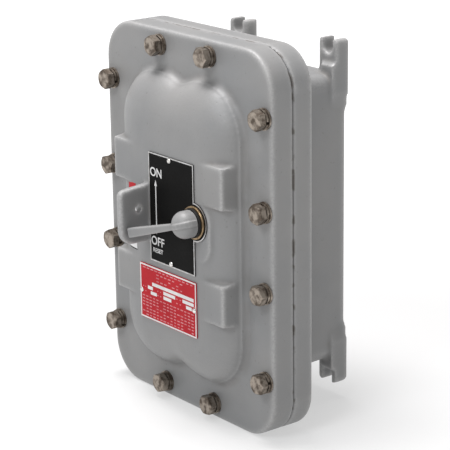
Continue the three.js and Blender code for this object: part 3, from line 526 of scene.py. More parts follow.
# %% [markdown]
# ## Cover
# The cover is a thick flange with a pillow shaped dome. Two square bars cross the dome level with its
# flat front, a long round boss carries the lever's shaft, and an ear takes a padlock. The dome's rings
# follow a quarter ellipse that starts in a concave fillet, and each end is pinched at the middle to
# clear the two bolts there.

# %% Cover sizes
FLANGE_R = 43 * mm
EDGE_ROUND = 3 * mm
DOME_RISE = COVER_FACE - PAD_FACE
DOME_INSET = 43 * mm  # flange edge to the dome's root
DOME_SPREAD = 47 * mm  # root to the flat front
DOME_FLAT_R = 8 * mm
DOME_FILLET = 6 * mm
PINCH_DEPTH = 8 * mm
PINCH_W = 17 * mm
DOME_WALL = 9 * mm
BAR_HALF_X = HALF_W - 47 * mm
BAR_INNER_Z = 40 * mm
BAR_HEIGHT = 43.5 * mm
BAR_DRAFT = 3 * mm
BOSS_R = 24 * mm
BOSS_DROP = 21 * mm
BOSS_RIM = 2.5 * mm
SINK = 2 * mm  # how deep a block reaches into its neighbour


# %% Flange and dome skins
def slab(back, front, round_at):
    """Flange with one square face and one rounded edge, which is at round_at."""
    square = front if round_at == back else back
    inward = 1 if square > round_at else -1
    rows = [ring(HALF_W, HALF_H, FLANGE_R, square, steps=16)]
    for i in range(7):
        angle = i / 6 * math.pi / 2
        inset = EDGE_ROUND * (1 - math.cos(angle))
        y = round_at + inward * EDGE_ROUND * (1 - math.sin(angle))
        rows.append(ring(HALF_W - inset, HALF_H - inset, FLANGE_R - inset, y, steps=16))
    return loft(rows)


def pinched(points, depth):
    """Draws the middle of both ends inwards."""
    for point in points:
        point.z -= math.copysign(depth * math.exp(-((point.x / PINCH_W) ** 2)), point.z)
    return points


def pillow(flat_x, flat_z, flat_r, spread, root, rise, pinch, fillet):
    """Dome over a rounded rectangle. Its sides follow a quarter ellipse."""

    def level(out, height, depth):
        size = (flat_x + out, flat_z + out, flat_r + out)
        return pinched(ring(*size, root - height, steps=12, extra=14), depth)

    rows = []
    if fillet:
        rows.append(level(spread + fillet, -SINK, pinch))
        for i in range(6):
            angle = (1 - i / 5) * math.pi / 2
            out = spread + fillet * (1 - math.cos(angle))
            rows.append(level(out, fillet * (1 - math.sin(angle)), pinch))
    start = math.asin(fillet / rise)
    for i in range(25):
        angle = start + (math.pi / 2 - start) * i / 24
        rows.append(level(spread * math.cos(angle), rise * math.sin(angle), pinch * math.cos(angle)))
    return loft(rows)


FLAT_X = HALF_W - DOME_INSET - DOME_SPREAD
FLAT_Z = HALF_H - DOME_INSET - DOME_SPREAD
flange_skin = slab(COVER_BACK, COVER_FACE, COVER_FACE)
dome_skin = pillow(
    FLAT_X, FLAT_Z, DOME_FLAT_R, DOME_SPREAD, COVER_FACE, DOME_RISE, PINCH_DEPTH, DOME_FILLET
)


# %% Bars, boss and ear skins
def block(half_x, half_z, y0, y1, centre, draft):
    """Drafted block: at y0 it is wider than at y1."""
    rows = []
    for y, grow in ((y0, draft), (y1, 0.0)):
        corners = ((1, -1), (1, 1), (-1, 1), (-1, -1))
        size = (half_x + grow, half_z + grow)
        rows.append([Vector((centre[0] + sx * size[0], y, centre[1] + sz * size[1])) for sx, sz in corners])
    return loft(rows)


def bar(side):
    middle = side * (BAR_INNER_Z + BAR_HEIGHT / 2)
    return block(BAR_HALF_X, BAR_HEIGHT / 2, COVER_FACE + SINK, PAD_FACE, (0, middle), BAR_DRAFT)


def long_boss():
    """Boss with round ends under the shaft, its rim rounded."""
    centre = (SHAFT.x, SHAFT.z - BOSS_DROP / 2)
    rows = [ring(BOSS_R, BOSS_R + BOSS_DROP / 2, BOSS_R, COVER_FACE + SINK, centre, 14)]
    for i in range(6):
        angle = i / 5 * math.pi / 2
        inset = BOSS_RIM * (1 - math.cos(angle))
        y = PAD_FACE + BOSS_RIM * (1 - math.sin(angle))
        size = (BOSS_R - inset, BOSS_R - inset + BOSS_DROP / 2, BOSS_R - inset)
        rows.append(ring(*size, y, centre, 14))
    return loft(rows)


EAR_X = -33 * mm
EAR_T = 8 * mm
EAR_REACH = 38 * mm
EAR_TOP = 45 * mm
EAR_BOTTOM = -18 * mm
EAR_HOLE_R = 4.2 * mm
EAR_HOLE_OUT = 15 * mm
EAR_TOP_R = 7 * mm
EAR_BOTTOM_R = 17 * mm
EAR_SLOPE = 3 * mm  # how far its top falls towards the tip


def arc(centre, radius, start, end, steps=8):
    """Points on an arc in a plane, as pairs. Angles are in degrees."""
    angles = [math.radians(start + (end - start) * i / steps) for i in range(steps + 1)]
    return [(centre[0] + radius * math.cos(a), centre[1] + radius * math.sin(a)) for a in angles]


def ear():
    """Padlock ear: a plate that stands out of the pad, its outline drawn in Y and Z."""
    front = PAD_FACE - EAR_REACH
    outline = [(PAD_FACE + SINK, EAR_BOTTOM), (PAD_FACE + SINK, EAR_TOP)]
    outline += arc((front + EAR_TOP_R, EAR_TOP - EAR_SLOPE - EAR_TOP_R), EAR_TOP_R, 90, 180)
    outline += arc((front + EAR_BOTTOM_R, EAR_BOTTOM + EAR_BOTTOM_R), EAR_BOTTOM_R, 180, 270)
    sides = (EAR_X - EAR_T / 2, EAR_X + EAR_T / 2)
    return loft([[Vector((x, y, z)) for y, z in outline] for x in sides])


# %% Bolt and screw places
bolt_places = [centre_of(n) for n in sorted(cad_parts) if n.startswith("cover_bolt_")]
screw_places = [centre_of(n) for n in sorted(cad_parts) if n.startswith("plate_screw_")]
BOLT_R = 6.1 * mm
SCREW_SHANK_R = 1.2 * mm


def drill(places, radius, y0, y1, sides=32):
    """Round bars along Y at each place."""
    return [rod(radius, (p.x, y0, p.z), (p.x, y1, p.z), sides) for p in places]


# %% Cast and machine the cover
OVER = 1 * mm  # overrun of a cut
BUSH_R = 10.5 * mm
INNER_BOSS_R = 18 * mm
INNER_BOSS_SINK = 4 * mm  # how deep it starts in the cover's wall
INNER_BOSS_END = COVER_FACE + 2 * mm - GAP
SCREW_HOLE_DEPTH = 6 * mm + GAP
HOLLOW_INSET = 6 * mm
HOLLOW_R = 4 * mm
EDGE_FULL = 0.75 * mm  # how proud a casting's edge stands where its pale wear and painted highlight are full

cover = fuse("cover_casting", [flange_skin, dome_skin, bar(1), bar(-1), long_boss(), ear()], 1.7 * mm, 3)
cover_hollow = pillow(
    FLAT_X - HOLLOW_INSET,
    FLAT_Z - HOLLOW_INSET,
    HOLLOW_R,
    DOME_SPREAD - HOLLOW_INSET,
    COVER_BACK + OVER,
    COVER_BACK - COVER_FACE + DOME_RISE - DOME_WALL + OVER,
    0.0,
    0.0,
)
machine(cover, "DIFFERENCE", [cover_hollow])
boss_start = PAD_FACE + INNER_BOSS_SINK
inner_boss = rod(INNER_BOSS_R, (SHAFT.x, boss_start, SHAFT.z), (SHAFT.x, INNER_BOSS_END, SHAFT.z))
machine(cover, "UNION", [inner_boss])
bores = drill(bolt_places, BOLT_R + 2 * GAP, COVER_FACE - OVER, COVER_BACK + OVER)
bores += drill([SHAFT], BUSH_R + GAP, PAD_FACE - OVER, INNER_BOSS_END + OVER)
bores += drill(screw_places, SCREW_SHANK_R + GAP, PAD_FACE - OVER, PAD_FACE + SCREW_HOLE_DEPTH, 12)
ear_hole = (PAD_FACE - EAR_HOLE_OUT, SHAFT.z)
bores.append(rod(EAR_HOLE_R, (EAR_X - EAR_T, *ear_hole), (EAR_X + EAR_T, *ear_hole)))
machine(cover, "DIFFERENCE", bores)
mark_edges(cover, 9, EDGE_FULL)
complete(cover, ENAMEL, "enclosure", "grey_enamel_casting", "cover")

# %% [markdown]
# ## Housing
# Behind the cover is a matching flange on a box. The box leans in a little towards the wall so that the
# pattern could leave the sand. Four slotted lugs carry it, each with a thick pad where it meets the
# box, and a round boss at each end takes the conduit.

# %% Housing sizes
FLANGE_BACK = BODY_FACE + 25.5 * mm
BOX_X = HALF_W - 51 * mm
BOX_Z = HALF_H - 44 * mm
BOX_DRAFT = 3.5 * mm
BOX_R = 16 * mm
BACK_ROUND = 5 * mm
BOX_FILLET = 6 * mm
WALL = 8 * mm
BACK_WALL = 10 * mm
LUG_W = 28 * mm
LUG_T = 17 * mm
LUG_RISE = {1: 38 * mm, -1: 29 * mm}  # above the box, and below it
LUG_PROUD = 3 * mm
LUG_FILLET = 8 * mm
SLOT_W = 14.4 * mm
SLOT_DEPTH = 16 * mm
PAD_T = 22 * mm
PAD_LENGTH = 38 * mm
PAD_WIDTH = 20 * mm
PAD_TAPER = 18 * mm
ENTRY_R = 22 * mm
ENTRY_BOSS_R = 32 * mm
ENTRY_RISE = 6 * mm
BACK_Z = BOX_Z - BOX_DRAFT
LUG_OUTER = BOX_X - BOX_DRAFT + LUG_PROUD
LUG_X = LUG_OUTER - LUG_W / 2
ENTRY_Y = (FLANGE_BACK - BACK_WALL) / 2


# %% Box skin
def box_skin():
    """Box behind the flange: a fillet, leaning sides and a rounded back edge."""
    rows = []

    def level(grow, y):
        radius = max(BOX_R + grow, 4 * mm)
        rows.append(ring(BOX_X + grow, BOX_Z + grow, radius, y, steps=12))

    level(BOX_FILLET, FLANGE_BACK - SINK)
    for i in range(6):
        angle = (1 - i / 5) * math.pi / 2
        fall = BOX_FILLET * (1 - math.sin(angle))
        level(BOX_FILLET * (1 - math.cos(angle)) - BOX_DRAFT * fall / -FLANGE_BACK, FLANGE_BACK + fall)
    for i in range(9):
        angle = i / 8 * math.pi / 2
        y = -BACK_ROUND * (1 - math.sin(angle))
        lean = BOX_DRAFT * (1 - y / FLANGE_BACK)
        level(-lean - BACK_ROUND * (1 - math.cos(angle)), y)
    return loft(rows)


# %% Lugs, pads and conduit bosses
def flat_block(outline, side_x, side_z, y0, y1):
    """Outline in X and Z, mirrored to one corner of the box, between two planes."""
    rows = [[Vector((side_x * x, y, side_z * z)) for x, z in outline] for y in (y0, y1)]
    return loft(rows)


def lug_outline(side_z):
    """Lug with a slot open at its tip and a fillet to the box."""
    tip = BACK_Z + LUG_RISE[side_z]
    root = BACK_Z - BOX_R - 4 * mm
    inner, outer, corner = LUG_X - LUG_W / 2, LUG_OUTER, 5 * mm
    slot_z = tip - SLOT_DEPTH + SLOT_W / 2
    outline = [(inner - LUG_FILLET, root), (outer, root)]
    outline += arc((outer - corner, tip - corner), corner, 0, 70)
    outline += [(LUG_X + SLOT_W / 2, tip)]
    outline += arc((LUG_X, slot_z), SLOT_W / 2, 0, -180, 12)
    outline += [(LUG_X - SLOT_W / 2, tip)]
    outline += arc((inner + corner, tip - corner), corner, 110, 180)
    outline += arc((inner - LUG_FILLET, BACK_Z + LUG_FILLET), LUG_FILLET, 0, -90)
    return outline


def pad_skin(side_x, side_z):
    """Thick pad where a lug meets the side of the box, tapered at its far end."""
    low, high = BACK_Z - PAD_LENGTH, BACK_Z + 12 * mm
    outline = [
        (LUG_OUTER - PAD_WIDTH, low),
        (LUG_OUTER - LUG_PROUD, low),
        (LUG_OUTER, low + PAD_TAPER),
        (LUG_OUTER, high),
        (LUG_OUTER - PAD_WIDTH, high),
    ]
    return flat_block(outline, side_x, side_z, -PAD_T, 0.0)


housing_skins = [slab(FLANGE_BACK, BODY_FACE, FLANGE_BACK), box_skin()]
for side_z in (1, -1):
    reach = [side_z * (BACK_Z - 20 * mm), side_z * (BOX_Z + ENTRY_RISE)]
    housing_skins.append(rod(ENTRY_BOSS_R, (0, ENTRY_Y, reach[0]), (0, ENTRY_Y, reach[1])))
    for side_x in (1, -1):
        housing_skins.append(flat_block(lug_outline(side_z), side_x, side_z, -LUG_T, 0.0))
        housing_skins.append(pad_skin(side_x, side_z))

# %% Cast and machine the housing
housing = fuse("housing_casting", housing_skins, 2.0 * mm, 4)
INNER_X = BOX_X - WALL
INNER_Z = BOX_Z - WALL
mouth = ring(INNER_X, INNER_Z, BOX_R - WALL, BODY_FACE - OVER)
throat = ring(INNER_X, INNER_Z, BOX_R - WALL, FLANGE_BACK)
floor_ring = ring(INNER_X - BOX_DRAFT, INNER_Z - BOX_DRAFT, BOX_R - WALL, -BACK_WALL)
machine(housing, "DIFFERENCE", [loft([mouth, throat, floor_ring])])

STANDOFF_R = 6 * mm
STANDOFF_INSET = 12 * mm
BOLT_HOLE_DEPTH = 21 * mm
pan_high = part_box("mounting_pan")[1]
corners = [
    Vector((sx * (pan_high.x - STANDOFF_INSET), 0, sz * (pan_high.z - STANDOFF_INSET)))
    for sx in (1, -1)
    for sz in (1, -1)
]
machine(housing, "UNION", drill(corners, STANDOFF_R, pan_high.y + GAP, -BACK_WALL + OVER))
openings = drill(bolt_places, BOLT_R + GAP, BODY_FACE - OVER, BODY_FACE + BOLT_HOLE_DEPTH)
for side_z in (1, -1):
    start = (0, ENTRY_Y, side_z * (INNER_Z - 15 * mm))
    openings.append(rod(ENTRY_R, start, (0, ENTRY_Y, side_z * (BOX_Z + 20 * mm))))
machine(housing, "DIFFERENCE", openings)
mark_edges(housing, 9, EDGE_FULL)
complete(housing, ENAMEL, "enclosure", "grey_enamel_casting", "enclosure_body")

# %% [markdown]
# ## Lever
# The lever is one small casting: a round hub like half a ball, a spine that runs over it, and a flat
# bar that grows towards a blunt tip. It is drawn level and then turned to where it rests, about the
# shaft's own axis, so the pattern of its paint turns with it.

# %% Lever
HUB_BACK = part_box("operating_handle")[1].y
HUB_R = 14.4 * mm
HUB_SKIRT = 7 * mm
HUB_DOME = 13 * mm
LEVER_REACH = 77 * mm
LEVER_LEAN = 9 * mm
LEVER_ROOT = 10 * mm  # where the free bar starts, from the shaft
LEVER_PROUD = 13.2 * mm  # its middle there, from the back of the hub
LEVER_REST = math.radians(-16.7)
LEVER_EDGE = 1.4 * mm
SPINE_W = 6.4 * mm
# The spine over the hub, in millimetres: how far from the shaft, how far from the hub's back, how deep.
SPINE = (
    (15.4, 5.0, 7.6),
    (14.6, 6.4, 10.6),
    (12.6, 8.4, 14.0),
    (9.0, 11.0, 16.0),
    (4.5, 13.4, 15.4),
    (0.0, 14.2, 14.4),
)


def hub_skin():
    """Skirt and dome of the hub, round the Y axis."""
    rows = [ring(HUB_R, HUB_R, HUB_R, HUB_BACK, steps=16)]
    for i in range(14):
        angle = i / 14 * math.pi / 2
        radius = HUB_R * math.cos(angle)
        y = HUB_BACK - HUB_SKIRT - HUB_DOME * math.sin(angle)
        rows.append(ring(radius, radius, radius, y, steps=16))
    return loft(rows)


def bar_section(x, middle, depth, height):
    """Rounded section of the lever's bar in the plane x."""
    flat = ring(height / 2, depth / 2, LEVER_EDGE, 0.0, steps=4)
    return [Vector((x, middle + p.z, p.x)) for p in flat]


def lever_skin():
    """Bar from the far edge of the hub, over its crown, out to the tip."""
    rows = [bar_section(x * mm, HUB_BACK - y * mm, depth * mm, SPINE_W) for x, y, depth in SPINE]
    for i in range(12):
        share = i / 11
        x = -LEVER_ROOT - share * (LEVER_REACH - LEVER_ROOT)
        middle = HUB_BACK - LEVER_PROUD - LEVER_LEAN * share
        rows.append(bar_section(x, middle, (8.4 - 1.2 * share) * mm, (6.8 + 3.8 * share) * mm))
    return loft(rows)


PIN_R = 1.6 * mm
SHAFT_R = 6.3 * mm
SOCKET_DEPTH = 12 * mm  # how far the shaft goes into the hub
lever = fuse("lever_casting", [hub_skin(), lever_skin()], 0.6 * mm, 4)
pin_y = HUB_BACK - HUB_SKIRT / 2
across = HUB_R + 2 * mm
shaft_socket = rod(SHAFT_R + GAP, (0, HUB_BACK - SOCKET_DEPTH, 0), (0, HUB_BACK + OVER, 0))
machine(lever, "DIFFERENCE", [shaft_socket])
machine(lever, "DIFFERENCE", [rod(PIN_R + GAP, (0, pin_y, -across), (0, pin_y, across), 24)])
mark_edges(lever, 6, EDGE_FULL / 3)
lever.data.transform(Matrix.Translation((SHAFT.x, 0, SHAFT.z)) @ Matrix.Rotation(LEVER_REST, 4, "Y"))
complete(lever, ENAMEL, "handle", "grey_enamel_casting", "operating_handle")

# %% [markdown]
# ## Bushing and seal
# Round parts are lofted too, as a closed loop: one section, turned in steps about the shaft's axis.


# %% Turned parts
def turned(name, section, material, body, slot, node, steps=72):
    """Ring whose section is given as pairs of radius and depth."""
    rows = []
    for i in range(steps):
        angle = 2 * math.pi * i / steps
        spoke = Vector((math.cos(angle), 0, math.sin(angle)))
        rows.append([Vector((SHAFT.x, y, SHAFT.z)) + r * spoke for r, y in section])
    piece = as_object(name, [loft(rows, closed=True)])
    complete(piece, material, body, slot, node)


bush_low, bush_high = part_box("shaft_bushing")
seal_low, seal_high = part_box("shaft_o_ring")
BUSH_FLANGE_R = bush_high.x - SHAFT.x
BUSH_FLANGE_T = 2 * mm
SHAFT_RUN = 0.08 * mm
chamfer = 0.5 * mm
bore = SHAFT_R + SHAFT_RUN
turned(
    "flanged_bushing",
    [
        (bore, bush_low.y),
        (BUSH_FLANGE_R - chamfer, bush_low.y),
        (BUSH_FLANGE_R, bush_low.y + chamfer),
        (BUSH_FLANGE_R, bush_low.y + BUSH_FLANGE_T),
        (BUSH_R, bush_low.y + BUSH_FLANGE_T),
        (BUSH_R, bush_high.y),
        (bore, bush_high.y),
    ],
    BRONZE,
    "enclosure",
    "bronze",
    "shaft_bushing",
)
seal_r = (seal_high.y - seal_low.y) / 2
seal_centre = (seal_high.x - SHAFT.x - seal_r, (seal_low.y + seal_high.y) / 2)
lip = [(SHAFT_R + GAP, seal_high.y), (SHAFT_R + GAP, seal_low.y)]
turned(
    "shaft_seal",
    lip + arc(seal_centre, seal_r, -90, 90, 10),
    RUBBER,
    "handle",
    "black_rubber",
    "shaft_o_ring",
)

# %% [markdown]
# ## Fasteners by Geometry Nodes
# Twelve bolts with their washers, and four drive screws, are the same shape again and again. A
# Geometry Nodes tree makes one of each and puts a copy on every place. The tree's sizes are named
# inputs, so they can be changed in one spot, and its turn of each head comes from a fixed seed.


# %% Helpers for repeated pieces
def start_repeat(name, sizes):
    """Tree with an input for the places and one for each named size."""
    group = bpy.data.node_groups.new(name, "GeometryNodeTree")
    group.interface.new_socket("Geometry", in_out="OUTPUT", socket_type="NodeSocketGeometry")
    group.interface.new_socket("Places", in_out="INPUT", socket_type="NodeSocketGeometry")
    for label in sizes:
        group.interface.new_socket(label, in_out="INPUT", socket_type="NodeSocketFloat")
    tree = Tree(group)
    source = group.nodes.new("NodeGroupInput")
    return tree, {s.name: Socket(s) for s in source.outputs if s.name}


def cylinder(tree, sides, radius, depth, low):
    """Upright cylinder whose lower end is at low."""
    inputs = {"Vertices": sides, "Radius": radius, "Depth": depth}
    body = tree.make("GeometryNodeMeshCylinder", None, inputs)
    return shifted(tree, body, low + depth / 2)


def shifted(tree, geometry, height):
    """Geometry moved along Z."""
    offset = tree.make("ShaderNodeCombineXYZ", None, {"Z": height})
    return tree.make("GeometryNodeTransform", None, {"Geometry": geometry, "Translation": offset})


def boolean(tree, operation, first, others):
    """Boolean of meshes. A difference cuts the others out of the first."""
    settings = {"operation": operation, "solver": "MANIFOLD"}
    if operation == "DIFFERENCE":
        return tree.make("GeometryNodeMeshBoolean", settings, {0: first, 1: others})
    return tree.make("GeometryNodeMeshBoolean", settings, {1: [first, *others]})


def end_repeat(tree, places, one, material, spin):
    """Points the piece at the viewer, turns each copy by up to spin and makes them real."""
    turn = {"Geometry": one, "Rotation": (math.pi / 2, 0.0, 0.0)}
    facing = tree.make("GeometryNodeTransform", None, turn)
    angle = tree.make("FunctionNodeRandomValue", {"data_type": "FLOAT"}, {2: 0.0, 3: spin, "Seed": 7}, out=1)
    rotation = tree.make("ShaderNodeCombineXYZ", None, {"Y": angle})
    inputs = {"Points": places, "Instance": facing, "Rotation": rotation}
    copies = tree.make("GeometryNodeInstanceOnPoints", None, inputs)
    real = tree.make("GeometryNodeRealizeInstances", None, {0: copies})
    shown = tree.make("GeometryNodeSetMaterial", None, {"Geometry": real, "Material": material})
    tree.make("NodeGroupOutput", None, {0: shown})


def run_repeat(name, tree, sizes, places):
    """Runs a tree on points and keeps what it makes as a plain mesh."""
    mesh = bpy.data.meshes.new(name)
    mesh.from_pydata(places, [], [])
    piece = bpy.data.objects.new(name, mesh)
    bpy.context.scene.collection.objects.link(piece)
    modifier = piece.modifiers.new("repeat", "NODES")
    modifier.node_group = tree.tree
    for item in tree.tree.interface.items_tree:
        if item.in_out == "INPUT" and item.name in sizes:
            modifier[item.identifier] = sizes[item.name]
    return settle(piece)


# %% Bolts
HEAD_T = 8 * mm
HEAD_ACROSS = 19.05 * mm
CROWN_SHARE = 0.46  # radius of the flat on top, as a share of the width across flats
CROWN_SLOPE = math.tan(math.radians(30))
head_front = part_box("cover_bolt_01")[0].y
seat = head_front + HEAD_T
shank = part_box("cover_bolt_01")[1].y - seat
bolt_sizes = {
    "Across flats": HEAD_ACROSS,
    "Head height": HEAD_T,
    "Shank radius": BOLT_R,
    "Shank length": shank,
}
tree, sizes = start_repeat("hexagon_bolt", bolt_sizes)
corner_radius = sizes["Across flats"] / (2 * math.cos(math.pi / 6))
head = cylinder(tree, 6, corner_radius, sizes["Head height"], 0.0)
crown = sizes["Across flats"] * CROWN_SHARE
cone = tree.make(
    "GeometryNodeMeshCone",
    None,
    {
        "Vertices": 48,
        "Radius Top": crown - OVER / CROWN_SLOPE,
        "Radius Bottom": crown + sizes["Head height"] / CROWN_SLOPE + OVER / CROWN_SLOPE,
        "Depth": sizes["Head height"] + 2 * OVER,
    },
)
head = boolean(tree, "INTERSECT", head, [shifted(tree, cone, -OVER)])
stem_length = sizes["Shank length"] + OVER
stem = cylinder(tree, 32, sizes["Shank radius"], stem_length, sizes["Shank length"] * -1)
bolt = boolean(tree, "UNION", head, [stem])
end_repeat(tree, sizes["Places"], bolt, STAINLESS, 2 * math.pi)
bolts = run_repeat("cover_bolts", tree, bolt_sizes, [(p.x, seat, p.z) for p in bolt_places])
bolt_nodes = [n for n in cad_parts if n.startswith("cover_bolt_")]
complete(bolts, STAINLESS, "enclosure", "stainless_steel", *bolt_nodes, sharp=25)

# %% Flat washers
WASHER_R = 11.2 * mm
WASHER_T = 2 * mm
washer_sizes = {"Outer radius": WASHER_R, "Inner radius": BOLT_R + GAP, "Thickness": WASHER_T}
tree, sizes = start_repeat("flat_washer", washer_sizes)
disc = cylinder(tree, 48, sizes["Outer radius"], sizes["Thickness"], 0.0)
hole = cylinder(tree, 48, sizes["Inner radius"], sizes["Thickness"] * 3, sizes["Thickness"] * -1)
end_repeat(tree, sizes["Places"], boolean(tree, "DIFFERENCE", disc, [hole]), STAINLESS, 2 * math.pi)
washer_back = COVER_FACE - GAP
washers = run_repeat("flat_washers", tree, washer_sizes, [(p.x, washer_back, p.z) for p in bolt_places])
washer_nodes = [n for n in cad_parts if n.startswith("cover_washer_")]
complete(washers, STAINLESS, "enclosure", "stainless_steel", *washer_nodes)

# %% [markdown]
# The split lock washer is a bar wound once round the bolt. A spiral with one radius and a small rise
# is its path, a rectangle is its section, and the path stops just short of a full turn.

# %% Lock washers
lock_sizes = {"Middle radius": 8.5 * mm, "Width": 3.6 * mm, "Thickness": 2.6 * mm, "Rise": 0.5 * mm}
tree, sizes = start_repeat("split_lock_washer", lock_sizes)
path = tree.make(
    "GeometryNodeCurveSpiral",
    None,
    {
        "Resolution": 48,
        "Rotations": 0.955,
        "Start Radius": sizes["Middle radius"],
        "End Radius": sizes["Middle radius"],
        "Height": sizes["Rise"],
    },
)
path = tree.make("GeometryNodeSetCurveNormal", {"mode": "Z_UP"}, {"Curve": path})
section = tree.make(
    "GeometryNodeCurvePrimitiveQuadrilateral",
    {"mode": "RECTANGLE"},
    {"Width": sizes["Width"], "Height": sizes["Thickness"]},
)
coil = tree.make(
    "GeometryNodeCurveToMesh", None, {"Curve": path, "Profile Curve": section, "Fill Caps": True}
)
end_repeat(tree, sizes["Places"], shifted(tree, coil, sizes["Thickness"] / 2), STAINLESS, 2 * math.pi)
LOCK_GAP = 0.05 * mm
lock_back = washer_back - WASHER_T - LOCK_GAP
locks = run_repeat("lock_washers", tree, lock_sizes, [(p.x, lock_back, p.z) for p in bolt_places])
complete(locks, STAINLESS, "enclosure", "stainless_steel")

# %% Drive screws
NAIL_LENGTH = 7 * mm
NAIL_OVERLAP = 0.5 * mm  # how far the nail reaches into its head
screw_sizes = {"Head radius": 2.7 * mm, "Head height": 1.6 * mm, "Shank radius": SCREW_SHANK_R}
tree, sizes = start_repeat("drive_screw", screw_sizes)
ball = tree.make(
    "GeometryNodeMeshUVSphere", None, {"Segments": 32, "Rings": 16, "Radius": sizes["Head radius"]}
)
flatten = tree.make(
    "ShaderNodeCombineXYZ", None, {"X": 1.0, "Y": 1.0, "Z": sizes["Head height"] / sizes["Head radius"]}
)
dome = tree.make("GeometryNodeTransform", None, {"Geometry": ball, "Scale": flatten})
under = cylinder(tree, 32, sizes["Head radius"] * 2, sizes["Head radius"] * 2, sizes["Head radius"] * -2)
dome = boolean(tree, "DIFFERENCE", dome, [under])
nail = cylinder(tree, 16, sizes["Shank radius"], NAIL_LENGTH, NAIL_OVERLAP - NAIL_LENGTH)
end_repeat(tree, sizes["Places"], boolean(tree, "UNION", dome, [nail]), BRIGHT, 0.0)
screw_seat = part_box("on_off_plate")[0].y - GAP
screws = run_repeat("drive_screws", tree, screw_sizes, [(p.x, screw_seat, p.z) for p in screw_places])
screw_nodes = [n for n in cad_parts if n.startswith("plate_screw_")]
complete(screws, BRIGHT, "enclosure", "zinc_steel", *screw_nodes)

# %% [markdown]
# ## Plates
# The black plate shows the lever's places with plain words and a double arrow. The red one keeps the
# layout of a rating plate, with blank fields and dashes in place of any wording. The prints are thin
# skins that stand a tenth of a millimetre proud, like thick ink, and both plates have a bare rim.

# %% Flat prints
PRINT_T = 0.12 * mm
plate_low, plate_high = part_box("on_off_plate")
PLATE_FACE = plate_low.y


def flat_print(outline):
    """Thin raised print with the given outline in X and Z."""
    rows = [[Vector((x, y, z)) for x, z in outline] for y in (PLATE_FACE, PLATE_FACE - PRINT_T)]
    return loft(rows)


def band(outer, inner):
    """Raised band between two outlines with the same number of points."""
    top = PLATE_FACE - PRINT_T
    planes = ((outer, PLATE_FACE), (outer, top), (inner, top), (inner, PLATE_FACE))
    return loft([[Vector((x, y, z)) for x, z in line] for line, y in planes], closed=True)


def rectangle(x0, x1, z0, z1):
    return [(x0, z0), (x1, z0), (x1, z1), (x0, z1)]


def words(text, size, x, z):
    """Plain capitals as a thin raised print."""
    curve = bpy.data.curves.new(text, "FONT")
    curve.body = text
    curve.size = size
    curve.align_x = "CENTER"
    curve.align_y = "CENTER"
    curve.extrude = PRINT_T / 2
    curve.offset = size * 0.012
    shape = bpy.data.objects.new(text, curve)
    bpy.context.scene.collection.objects.link(shape)
    bpy.context.view_layer.update()
    mesh = bpy.data.meshes.new_from_object(shape.evaluated_get(bpy.context.evaluated_depsgraph_get()))
    bpy.data.objects.remove(shape)
    place = Matrix.Translation((x, PLATE_FACE - PRINT_T / 2, z))
    mesh.transform(place @ Matrix.Rotation(math.pi / 2, 4, "X"))
    return mesh


# %% Black plate
BULGE_R = 20.5 * mm
PLATE_X1 = 48.5 * mm
RIM = 1.3 * mm


def plate_outline(inset):
    """Outline of the black plate, with its bulge round the shaft."""
    x0, x1 = plate_low.x + inset, PLATE_X1 - inset
    z0, z1 = plate_low.z + inset, plate_high.z - inset
    radius = BULGE_R - inset
    open_angle = math.degrees(math.acos((x1 - SHAFT.x) / radius))
    bulge = arc((SHAFT.x, SHAFT.z), radius, -open_angle, open_angle, 24)
    return [(x0, z0), (x1, z0), *bulge, (x1, z1), (x0, z1)]


def double_arrow(x, low, high):
    """Thin line with a head at each end."""
    line, head, length = 0.75 * mm, 2.3 * mm, 6.5 * mm
    right = [(x + line, low + length), (x + line, high - length), (x + head, high - length), (x, high)]
    left = [(x - head, high - length), (x - line, high - length), (x - line, low + length)]
    return [(x, low), (x + head, low + length), *right, *left, (x - head, low + length)]


MARKS_X = -16.6 * mm
WORD_SIZE = 13.2 * mm
marks = [
    words("ON", WORD_SIZE, MARKS_X + 1 * mm, 58.6 * mm),
    words("OFF", WORD_SIZE, MARKS_X + 1.6 * mm, -16.2 * mm),
    words("RESET", WORD_SIZE / 2, MARKS_X + 1.6 * mm, -26.2 * mm),
    flat_print(double_arrow(MARKS_X, -8 * mm, 51 * mm)),
]
complete(as_object("plate_marks", marks), PALE_PRINT, "enclosure", "black_plate")
rim = band(plate_outline(0.0), plate_outline(RIM))
complete(as_object("black_plate_rim", [rim]), ZINC, "enclosure", "black_plate")

# %% [markdown]
# The dashes of the red plate are a grid of small bars. The tree drops some of them and changes the
# length of the rest at random, with a fixed seed, so the rows look like lines of small print.

# %% Red plate
red_low, red_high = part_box("nameplate")
RED_W = red_high.x - red_low.x
RED_H = red_high.z - red_low.z
RED_RIM = 2.0 * mm


def on_red(across, down):
    """Point on the red plate from shares of its width and height, from the top left corner."""
    return red_low.x + across * RED_W, red_high.z - down * RED_H


def field(across0, across1, down0, down1):
    """Blank pale field."""
    x0, z1 = on_red(across0, down0)
    x1, z0 = on_red(across1, down1)
    return flat_print(rectangle(x0, x1, z0, z1))


def inset_rect(inset):
    return rectangle(red_low.x + inset, red_high.x - inset, red_low.z + inset, red_high.z - inset)


fields = [
    field(0.22, 0.955, 0.30, 0.36),
    field(0.14, 0.23, 0.385, 0.445),
    field(0.42, 0.63, 0.385, 0.445),
    field(0.76, 0.955, 0.385, 0.445),
    field(0.19, 0.30, 0.47, 0.53),
    field(0.42, 0.56, 0.47, 0.53),
    field(0.82, 0.92, 0.47, 0.53),
    band(inset_rect(0.4 * mm), inset_rect(RED_RIM)),
]
complete(as_object("red_plate_fields", fields), PALE_PRINT, "enclosure", "red_plate")


# %% Dashes
DASH_H = 1.1 * mm
DASH_SHORT, DASH_LONG = 0.45, 0.85  # shares of the space that a dash may fill


